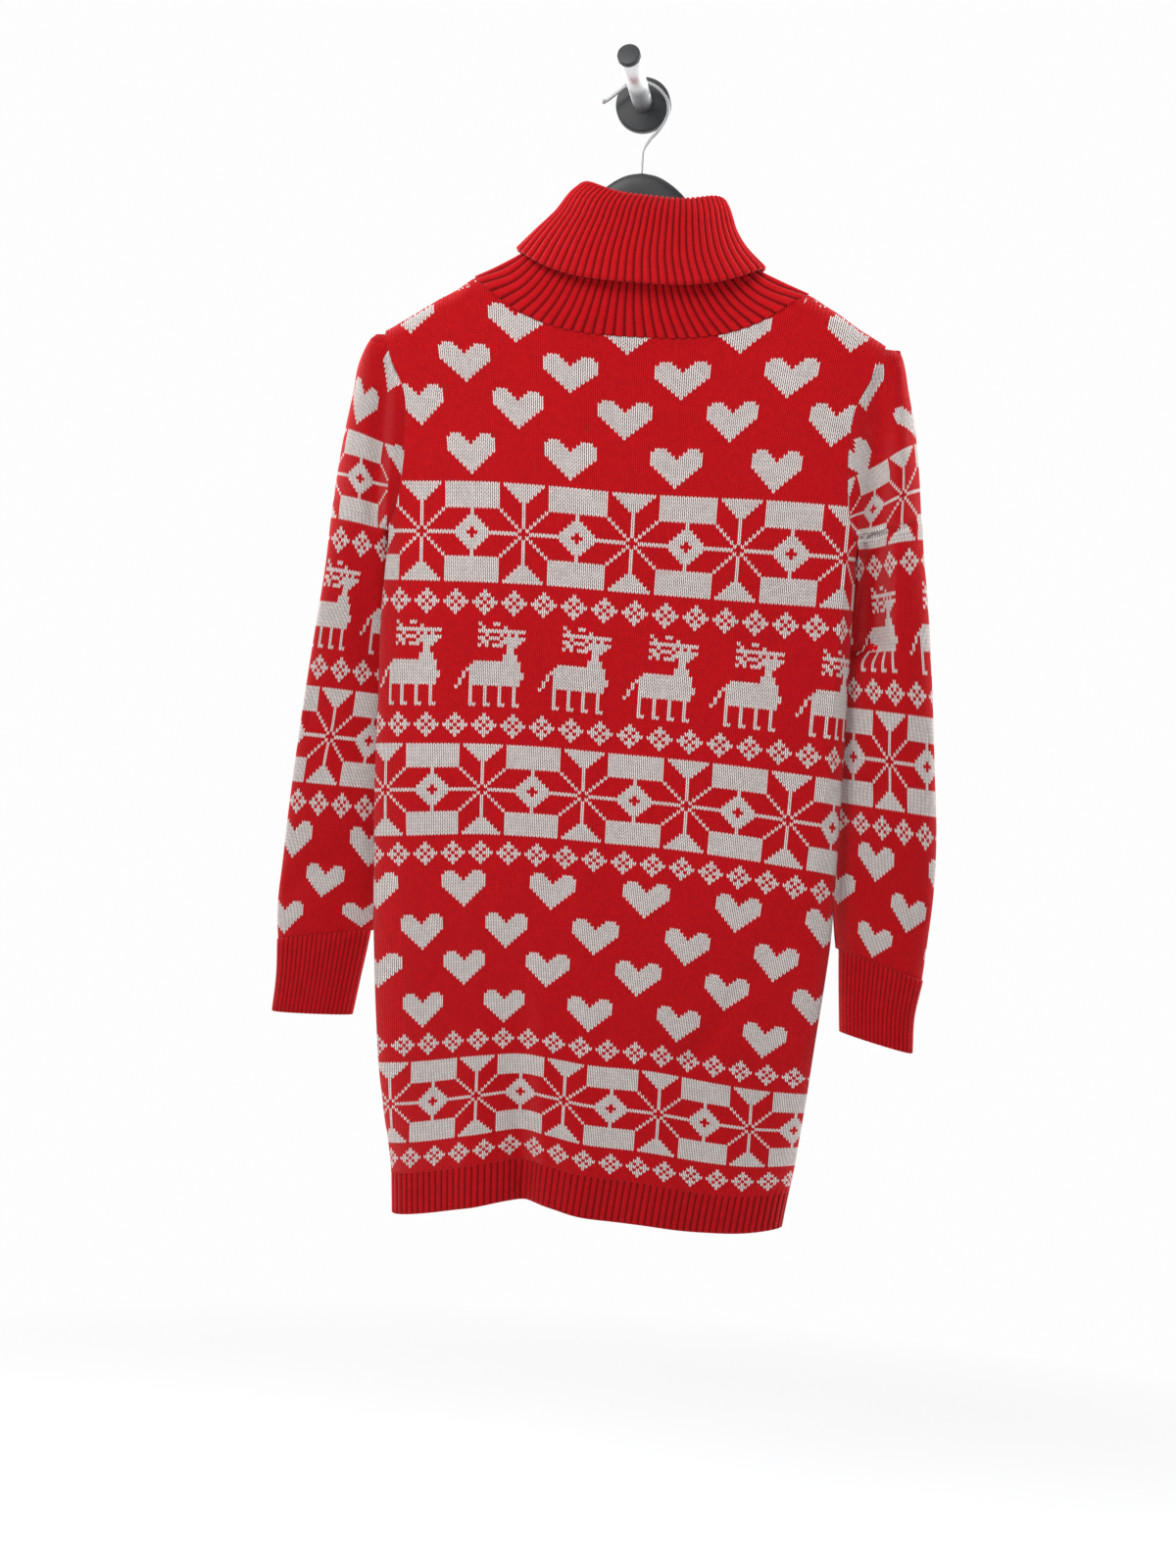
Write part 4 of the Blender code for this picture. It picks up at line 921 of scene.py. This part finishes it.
def hem(name, front, finish):
    """One panel's ribbed hem, from just inside the panel's first course down to the hem line."""
    columns = COLUMNS_PER_RIB * HEM_RIBS_PER_PANEL + 1
    up = np.linspace(0.0, 1.0, HEM_ROWS)
    top = HEM_RIB_TOP + CLOSE_OVER
    points = np.array([even_line(panel_edge_line(front, top * share), columns) for share in up])
    if not front:
        points = points[:, ::-1]
    points = points - (HEM_TUCK * up**6)[:, None, None] * grid_normals(points, False)
    return rib_band(name, points, HEM_RIBS_PER_PANEL, HEM_RELIEF, False, finish)


def cuff(name, arm, finish):
    """A ribbed cuff: flat ellipses from the inner to the outer edge, the top drawn up to meet
    the sleeve's first course."""
    rows = np.array(sorted(arm.cuff))
    at = np.linspace(0.0, len(rows) - 1.0, CUFF_ROWS)
    turn = np.linspace(0.0, 2 * math.pi, 1441)
    points = []
    for row in smooth(np.column_stack([range(len(rows)), rows]), at).T:
        outer, inner = row[:3, None], row[3:6, None]
        z, x, y = inner + (outer - inner) * (1 - np.cos(turn)) / 2
        line = stack(arm.side * x, y + row[6] * np.sin(turn), z)
        points.append(even_line(line, COLUMNS_PER_RIB * CUFF_RIBS + 1)[:-1])
    points = np.array(points)
    _, outer_z, drop = arm.courses[0][:3]
    x = arm.side * points[-1, :, 0]
    lift = outer_z - drop * (x.max() - x) + CLOSE_OVER - points[-1, :, 2]
    points[..., 2] += lift * np.linspace(0.0, 1.0, CUFF_ROWS)[:, None] ** 3
    return rib_band(name, points[:, ::-arm.side], CUFF_RIBS, CUFF_RELIEF, True, finish)


# ---- collar
def collar_half(shape, front):
    """Half a round of the collar, from left to right: level at the sides, dipping by
    1 - |share| cubed, with rounder corners near the fold."""
    centre, half, left, right, front_z, back_z, front_y, side_y, back_y = shape
    turn = np.linspace(-math.pi / 2, math.pi / 2, 721)
    share = np.sin(turn)
    reach = (front_y if front else back_y) - side_y
    y = side_y + reach * np.cos(turn) ** (1.0 if front else 0.6)
    level = left + (right - left) * (share + 1) / 2
    drop = (front_z if front else back_z) - (left + right) / 2
    rounded = limited((front_z - ROUNDED_FROM) / 40.0)
    z = level + drop * (1 - np.abs(share) ** 3) - CORNER_DROOP * rounded * np.abs(share) ** 9
    return stack(centre + half * share, y, z)


def neckline(front):
    """The panel's neckline, from the left corner to the right."""
    x = NECK_CENTRE + NECK_HALF * np.sin(np.linspace(-math.pi / 2, math.pi / 2, 721))
    z = neck_height(x, front)
    return stack(x, body_depth(x, z, front), z)


def collar(name, finish):
    """The ribbed roll collar, one wall with ribs on both sides: up from the neck, over at the
    top and down outside."""
    columns = COLLAR_COLUMNS_PER_RIB * COLLAR_RIBS
    guide = []
    for shape in (None, *COLLAR):
        front, back = (
            even_line(collar_half(shape, half) if shape else neckline(half), columns // 2 + 1)
            for half in (True, False))
        guide.append(join([front[:-1], back[:0:-1]]))
    guide = np.array(guide)
    run = lengths(np.linalg.norm(np.diff(guide, axis=0), axis=-1).mean(axis=1))
    spread = np.interp(np.linspace(0.0, 1.0, COLLAR_ROWS), np.linspace(0.0, 1.0, len(run)), run)
    spread = (1 - EVENNESS) * spread + EVENNESS * np.linspace(0.0, run[-1], COLLAR_ROWS)
    points = smooth(np.column_stack([run, guide.reshape(len(run), -1)]), spread)
    points = np.moveaxis(points.reshape(columns, 3, COLLAR_ROWS), 2, 0)
    normals = grid_normals(points, True)
    stand_lift, turned_lift = (rib_lift(columns, COLLAR_RIBS, True, relief)
                               for relief in (STAND_RELIEF, TURN_DOWN_RELIEF))
    stand = points + stand_lift * normals
    turned_down = points - (CLOTH + turned_lift) * normals
    rim = (stand[-1] + turned_down[-1]) / 2 + unit(points[-1] - points[-2])
    loop = join([stand, rim[None], turned_down[::-1]])
    return rib_mesh(name, loop, COLLAR_RIBS, True, finish)


# ---- hanger and wall peg
def closed_body(name, points, finish):
    """A closed body from rings of points, with a fan over each end."""
    rows, columns = points.shape[:2]
    faces, uv, _, _ = cell_triangles(rows, columns, wrap_columns=True)
    count = rows * columns
    ring = np.arange(columns)
    after = (ring + 1) % columns
    last = count - columns
    faces = join([faces, stack(after, ring, count), stack(ring + last, after + last, count + 1)])
    points = join([points.reshape(-1, 3), points[[0, -1]].mean(axis=1)])
    uv = np.pad(uv, ((0, 2 * columns), (0, 0), (0, 0)))
    return make_mesh(name, points, faces, uv, np.zeros((len(faces), 3)), finish)


def hanger(name, finish):
    """The moulded hanger: an oval bar that follows the neck hump and both shoulders."""
    reach = HANGER[-1][0]
    stations = reach * np.sin(np.linspace(-math.pi / 2, math.pi / 2, 161))
    top, half_z, half_y = smooth(HANGER, np.abs(stations))[..., None]
    slope = np.gradient(top[:, 0], stations)[:, None]
    length = np.hypot(1.0, slope)
    turn = full_turn(40) + math.pi / 2
    stations = stations[:, None]
    closing = np.sqrt(np.clip(1 - (np.abs(stations) / (reach + 0.5)) ** 40, 0.04, 1.0))
    lift = half_z * (signed_power(np.sin(turn), 0.8) * closing - 1.0)
    points = stack(
        stations - lift * (slope / length),
        HANG_DEPTH + half_y * closing * signed_power(np.cos(turn), 0.7),
        top + lift / length)
    return closed_body(name, points[:, ::-1], finish)


def wire_hook(name, finish):
    """The hanger's wire hook: a round wire along a smooth route, with a small ball at its tip."""
    places = np.arange(len(HOOK_ROUTE))
    at = np.linspace(0.0, len(places) - 1, 14 * 14 + 1)
    x, z = smooth(np.column_stack([places, HOOK_ROUTE]), at)
    along = unit(stack(np.gradient(x), np.gradient(z)))
    run = lengths(np.hypot(np.diff(x), np.diff(z)))
    left = run[-1] - run
    ball = np.sqrt(np.clip(TIP_RADIUS**2 - (left - TIP_RADIUS) ** 2, 0.02, None))
    radius = np.where(left < 2 * TIP_RADIUS, ball, WIRE_RADIUS)
    radius = np.maximum(radius, np.where(left > TIP_RADIUS, WIRE_RADIUS, 0.1))[:, None]
    turn = full_turn(24)
    points = stack(
        x[:, None] - radius * np.cos(turn) * along[:, 1:],
        HANG_DEPTH + radius * np.sin(turn),
        z[:, None] + radius * np.cos(turn) * along[:, :1])
    return closed_body(name, points[:, ::-1], finish)


def turned(name, profile, start, direction, finish, flat_start=False):
    """A turned piece: (distance along, radius) pairs spun round an axis from `start`."""
    direction = unit(np.array(direction))
    level = unit(np.cross(direction, [0.0, 0.0, 1.0]))
    upright = np.cross(level, direction)
    turn = full_turn(96)
    ring = np.outer(np.cos(turn), level) + np.outer(np.sin(turn), upright)
    profile = np.array(profile)
    points = np.array(start) + profile[:, :1, None] * direction + profile[:, 1:, None] * ring
    if flat_start:
        points[0] += ((start[1] - points[0, :, 1]) / direction[1])[:, None] * direction
    return closed_body(name, points, finish)


def rounded_disc(radius, thick, edge):
    """Profile of a disc whose front edge is a quarter round, with a slightly domed face."""
    profile = [(0.0, radius - 0.3), (0.3, radius), (thick - edge, radius)]
    for turn in np.linspace(0.0, math.pi / 2, 9)[1:]:
        profile.append((thick - edge + edge * math.sin(turn), radius - edge + edge * math.cos(turn)))
    return [*profile, (thick + 0.25, (radius - edge) * 0.5), (thick + 0.3, 0.5)]


def wall_peg(black, steel):
    """Round wall plate, bare steel peg and its black end cap."""
    centre = (-CENTRE_ACROSS, 0.0, 0.0)
    foot_depth = PLATE_THICK - 0.4
    plate = turned("wall_plate_shell", rounded_disc(PLATE_RADIUS, foot_depth, 1.8), centre,
                   (0.0, 1.0, 0.0), black)
    axis = np.array([math.tan(PEG_LEAN), 1.0, math.tan(PEG_TILT)])
    foot = centre + axis * foot_depth
    length = (PEG_REACH - foot_depth) * np.linalg.norm(axis)
    peg = turned("peg_rod", [(0.0, PEG_RADIUS), (length * 0.5, PEG_RADIUS), (length, PEG_RADIUS)],
                 foot, axis, steel, flat_start=True)
    cap = turned("peg_end_cap", rounded_disc(CAP_RADIUS, CAP_LENGTH, 1.2),
                 foot + unit(axis) * length, axis, black)
    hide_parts("wall_plate")
    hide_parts("peg")
    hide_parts("peg_cap")


# ---- finishes
class Nodes:
    """Short ways to add and link the shader nodes of a material or a world."""

    def __init__(self, owner, shader="Principled BSDF"):
        owner.use_nodes = True
        self.owner = owner
        self.tree = owner.node_tree
        self.shader = self.tree.nodes[shader]

    def feed(self, node, values):
        """Link or set inputs, by their number or name."""
        for place, value in values.items():
            if isinstance(value, bpy.types.NodeSocket):
                self.tree.links.new(value, node.inputs[place])
            else:
                node.inputs[place].default_value = value

    def add(self, kind, values=None, **settings):
        """The outputs of a new node."""
        node = self.tree.nodes.new("ShaderNode" + kind)
        for key, value in settings.items():
            setattr(node, key, value)
        self.feed(node, values or {})
        return node.outputs

    def math(self, operation, *values):
        """The operation's result."""
        return self.add("Math", dict(enumerate(values)), operation=operation)[0]

    def wave(self, operation, value, rate):
        """|sine or cosine| of the value times the rate."""
        return self.math("ABSOLUTE", self.math(operation, self.math("MULTIPLY", value, rate)))

    def mix(self, share, a, b):
        """A colour a `share` of the way from a to b."""
        return self.add("Mix", {0: share, 6: a, 7: b}, data_type="RGBA")[2]

    def between(self, value, low, high):
        """0 up to `low`, 1 from `high`, even between them."""
        return self.add("MapRange", {"Value": value, "From Min": low, "From Max": high})[0]

    def noise(self, scale, detail=2.0, place=None):
        """Soft noise, in the object's own metres unless a place is given."""
        if place is None:
            place = self.add("TexCoord")["Object"]
        return self.add("TexNoise", {"Vector": place, "Scale": scale, "Detail": detail})["Fac"]

    def bump(self, height, distance, strength):
        """Give the shader this relief."""
        normal = self.add("Bump", {"Height": height, "Distance": distance, "Strength": strength})
        self.feed(self.shader, {"Normal": normal[0]})


RED = (0.60, 0.0035, 0.0080, 1.0)
# red in painted shade, for the gaps between a stitch's legs
RED_GAP_SHADE = (0.26, 0.0015, 0.0035, 1.0)
# the ribbing's red, darker than the knit's partly as painted shade of the ribs
RIB_RED = (0.50, 0.0038, 0.0078, 1.0)
# red in painted shade, for the valleys between ribs
RIB_VALLEY_SHADE = (0.15, 0.0011, 0.0023, 1.0)
WHITE = (0.93, 0.86, 0.83, 1.0)
# painted shade in the gaps of white stitches among white ones
WHITE_GAP_SHADE = (0.09, 0.06, 0.06, 1.0)
SHEEN = (1.0, 0.5, 0.5, 1.0)


def new_nodes(name):
    """The nodes of a new finish."""
    return Nodes(bpy.data.materials.new(name))


def yarn_places(n):
    """Across and along the stitches, and the three tints of the piece's yarn: white, tone and the white
    share beside a stitch, which tints the painted gap shade.
    """
    uv = n.add("UVMap", uv_map="stitches")[0]
    u, v, _ = n.add("SeparateXYZ", {0: uv})
    colour = n.add("VertexColor", layer_name="yarn")[0]
    return u, v, *n.add("SeparateColor", {0: colour})


def yarn_finish(n, colour, tone, uneven, value, height, fuzz, distance, strength):
    """Matt fuzzy yarn: its lightness varies with the tone and in soft clouds."""
    cloudy = n.math("MULTIPLY", n.noise(9.0, 3.0), 0.14)
    shade = n.math("ADD", n.math("MULTIPLY", tone, uneven), cloudy)
    scaled = n.add("HueSaturation", {"Color": colour, "Value": n.math("ADD", shade, value)})[0]
    n.bump(n.math("MULTIPLY_ADD", n.noise(1500.0), fuzz, height), distance, strength)
    n.feed(n.shader, {"Base Color": scaled, "Roughness": 0.88, "Specular IOR Level": 0.12,
                      "Sheen Weight": 0.16, "Sheen Roughness": 0.4, "Sheen Tint": SHEEN})
    return n.owner


def knit_finish():
    """Stockinette: each stitch is a V of two yarn legs. Across a stitch the height is
    |sin(2 pi u)|, along a leg it swells once a course, and shade is painted into the gaps."""
    n = new_nodes("two_colour_knit")
    u, v, white, tone, beside = yarn_places(n)
    swell = n.math("POWER", n.wave("SINE", v, math.pi), 0.6)
    swell = n.math("MULTIPLY_ADD", swell, 0.65, 0.35)
    height = n.math("MULTIPLY", n.wave("SINE", u, 2 * math.pi), swell)
    # Painted shade: the gaps between the legs are darker. A red stitch's gaps go towards the shaded
    # red; a white stitch's go from the shaded red beside red stitches to a dark grey among white ones.
    unshaded = n.between(height, 0.27, 0.66)
    red = n.mix(n.math("MULTIPLY_ADD", unshaded, 0.55, 0.45), RED_GAP_SHADE, RED)
    gap_shade = n.mix(n.math("POWER", beside, 1.6), RED_GAP_SHADE, WHITE_GAP_SHADE)
    yarn = n.mix(white, red, n.mix(unshaded, gap_shade, WHITE))
    return yarn_finish(n, yarn, tone, 0.14, 0.87, height, 0.18, 0.0011, 0.75)


def rib_finish(name, value):
    """Ribbing: the yarn's V stitches run up each rib, with shade painted darker down in the valleys."""
    n = new_nodes(name)
    u, v, _, tone, _ = yarn_places(n)
    slant = n.math("MULTIPLY_ADD", n.wave("COSINE", u, math.pi), 0.5, v)
    stitch = n.math("MULTIPLY", n.wave("SINE", slant, math.pi), 0.6)
    # Painted shade: the valleys between the ribs are darker.
    red = n.mix(n.between(n.wave("SINE", u, math.pi), 0.10, 0.70), RIB_VALLEY_SHADE, RIB_RED)
    return yarn_finish(n, red, tone, 0.10, value, stitch, 0.3, 0.0007, 0.6)


def plastic_finish():
    """Black moulded plastic: a fine grain and slightly uneven gloss."""
    n = new_nodes("black_moulding")
    worn = n.noise(25.0, 4.0)
    n.feed(n.shader, {
        "Base Color": n.mix(worn, (0.013, 0.015, 0.017, 1.0), (0.024, 0.026, 0.029, 1.0)),
        "Roughness": n.math("MULTIPLY_ADD", worn, 0.14, 0.32), "Specular IOR Level": 0.40})
    n.bump(n.noise(900.0, 3.0), 0.0001, 0.4)
    return n.owner


def steel_finish(name, brightness, roughness):
    """Satin steel: fine scratches and a slightly uneven polish."""
    n = new_nodes(name)
    place = n.add("TexCoord")["Object"]
    stretched = n.add("Mapping", {"Vector": place, "Scale": (900.0, 40.0, 900.0)})[0]
    scratches = n.noise(1.0, 3.0, stretched)
    dull, clear = ((*(np.array([0.91, 0.92, 0.93]) * shade), 1.0)
                   for shade in (brightness, 1.1 * brightness))
    n.feed(n.shader, {
        "Base Color": n.mix(n.noise(40.0, 3.0), dull, clear), "Metallic": 1.0,
        "Roughness": n.math("MULTIPLY_ADD", scratches, 0.10, roughness)})
    n.bump(scratches, 0.00003, 0.2)
    return n.owner


# ---- studio
PALE = (0.985, 0.985, 0.985, 1.0)
FLOOR_HEIGHT = -1.62
RIM_POWER = 62.0
# name, place, height it is aimed at, size, power, colour
LIGHTS = [
    ("key", (-0.9, -1.9, 0.95), -0.35, (1.2, 1.2), 38.0, (1.0, 0.985, 0.97)),
    ("fill", (1.2, -2.4, 0.5), -0.5, (1.4, 1.6), 5.0, (0.96, 0.98, 1.0)),
    ("left rim", (-1.7, 0.8, 0.3), -0.45, (1.2, 2.0), RIM_POWER, (1.0, 1.0, 1.0)),
    ("right rim", (1.7, 0.8, 0.3), -0.45, (1.2, 2.0), RIM_POWER, (1.0, 1.0, 1.0)),
    ("top", (0.0, -0.4, 1.3), -0.2, (1.4, 0.8), 10.0, (1.0, 1.0, 1.0)),
]


def floor_finish():
    """Pale floor that fades into the backdrop with the distance from the wall peg's foot."""
    n = new_nodes("pale_floor")
    place = n.add("TexCoord")["Object"]
    flat = n.add("VectorMath", {0: place, 1: (1.0, 1.0, 0.0)}, operation="MULTIPLY")[0]
    fade = n.between(n.add("VectorMath", {0: flat}, operation="LENGTH")["Value"], 0.5, 2.2)
    base = n.mix(n.noise(3.0, 3.0), (0.80, 0.81, 0.83, 1.0), (0.84, 0.85, 0.86, 1.0))
    n.feed(n.shader, {"Base Color": base, "Roughness": 0.7})
    glow = n.add("Emission", {"Color": PALE, "Strength": 1.0})[0]
    blend = n.add("MixShader", {0: fade, 1: n.shader.outputs[0], 2: glow})[0]
    n.feed(n.tree.nodes["Material Output"], {"Surface": blend})
    return n.owner


def floor():
    """A wide round floor, rings of points out from its middle."""
    turn = full_turn(64)
    radii = np.array([0.02, 0.5, 1.0, 2.0, 4.0, 9.0, 30.0])[:, None]
    points = stack(radii * np.cos(turn), radii * np.sin(turn), FLOOR_HEIGHT).reshape(-1, 3)
    faces = cell_triangles(len(radii), len(turn), wrap_columns=True)[0][:, ::-1]
    mesh = bpy.data.meshes.new("floor")
    mesh.from_pydata(points.tolist(), [], [*faces.tolist(), list(range(len(turn)))])
    mesh.materials.append(floor_finish())
    placed("floor", mesh)


def area_light(name, place, aimed_at, size, power, colour):
    """A soft rectangular light aimed at the wall peg's line."""
    lamp = bpy.data.lights.new(name, "AREA")
    lamp.shape = "RECTANGLE"
    lamp.size, lamp.size_y = size
    lamp.energy = power
    lamp.color = colour
    made = placed(name, lamp)
    made.location = place
    aim = Vector((0.0, 0.0, aimed_at)) - made.location
    made.rotation_euler = aim.to_track_quat("-Z", "Y").to_euler()


def studio():
    """White backdrop, soft light all round and a large soft key from the left."""
    n = Nodes(bpy.data.worlds.new("studio"), "Background")
    n.feed(n.shader, {"Color": PALE, "Strength": 1.0})
    lit = n.add("Background", {"Color": (0.97, 0.98, 1.0, 1.0), "Strength": 0.17})[0]
    seen = n.add("LightPath")["Is Camera Ray"]
    blend = n.add("MixShader", {0: seen, 1: lit, 2: n.shader.outputs[0]})[0]
    n.feed(n.tree.nodes["World Output"], {"Surface": blend})
    bpy.context.scene.world = n.owner
    for light in LIGHTS:
        area_light(*light)
    bpy.context.scene.view_settings.view_transform = "Standard"


CAMERA_PLACE = (0.220873, -1.965638, -0.617049)
CAMERA_LENS = 50.0
CAMERA_SENSOR = 36.0
CAMERA_TURN = math.radians(6.88)  # turned to the left of the wall's normal
CAMERA_ROLL = math.radians(3.2)


def camera():
    """Level camera at the height of the dress's middle, turned and rolled a little."""
    level = np.array([math.cos(CAMERA_TURN), math.sin(CAMERA_TURN), 0.0])
    ahead = np.array([-math.sin(CAMERA_TURN), math.cos(CAMERA_TURN), 0.0])
    up = np.array([0.0, 0.0, 1.0])
    right = level * math.cos(CAMERA_ROLL) + up * math.sin(CAMERA_ROLL)
    above = -level * math.sin(CAMERA_ROLL) + up * math.cos(CAMERA_ROLL)
    data = bpy.data.cameras.new("camera")
    data.lens = CAMERA_LENS
    data.sensor_width = CAMERA_SENSOR
    made = placed("camera", data)
    rows = stack(right, above, -ahead, CAMERA_PLACE).tolist()
    made.matrix_world = Matrix([*rows, (0.0, 0.0, 0.0, 1.0)])
    bpy.context.scene.camera = made


def main():
    """The studio, then each piece, with the solid it replaces hidden."""
    camera()
    studio()
    floor()
    knit = knit_finish()
    # The hem and cuffs get a darker copy of the ribbing, 0.74 against the collar's 0.88: painted shade,
    # as the light falls off towards the bottom.
    collar_rib, shaded_lower_ribbing = rib_finish("collar_ribbing", 0.88), rib_finish("lower_ribbing_painted_shade", 0.74)
    black = plastic_finish()
    wall_peg(black, steel_finish("satin_steel", 0.80, 0.38))
    hook = wire_hook("wire_hook", steel_finish("bright_wire", 0.42, 0.50))
    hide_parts("hanger_hook")
    bar = hanger("moulded_hanger", black)
    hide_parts("hanger_body")
    for name, front in (("front", True), ("back", False)):
        made = panel(name + "_knit", front, knit)
        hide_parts(name)
        ribs = hem("hem_" + name + "_ribbing", front, shaded_lower_ribbing)
        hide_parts("hem_" + name)
    for name, arm in (("left", LEFT), ("right", RIGHT)):
        made = sleeve("sleeve_" + name + "_knit", arm, knit)
        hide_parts("sleeve_" + name)
        ribs = cuff("cuff_" + name + "_ribbing", arm, shaded_lower_ribbing)
        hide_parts("cuff_" + name)
    roll = collar("roll_collar", collar_rib)
    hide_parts("collar")


main()
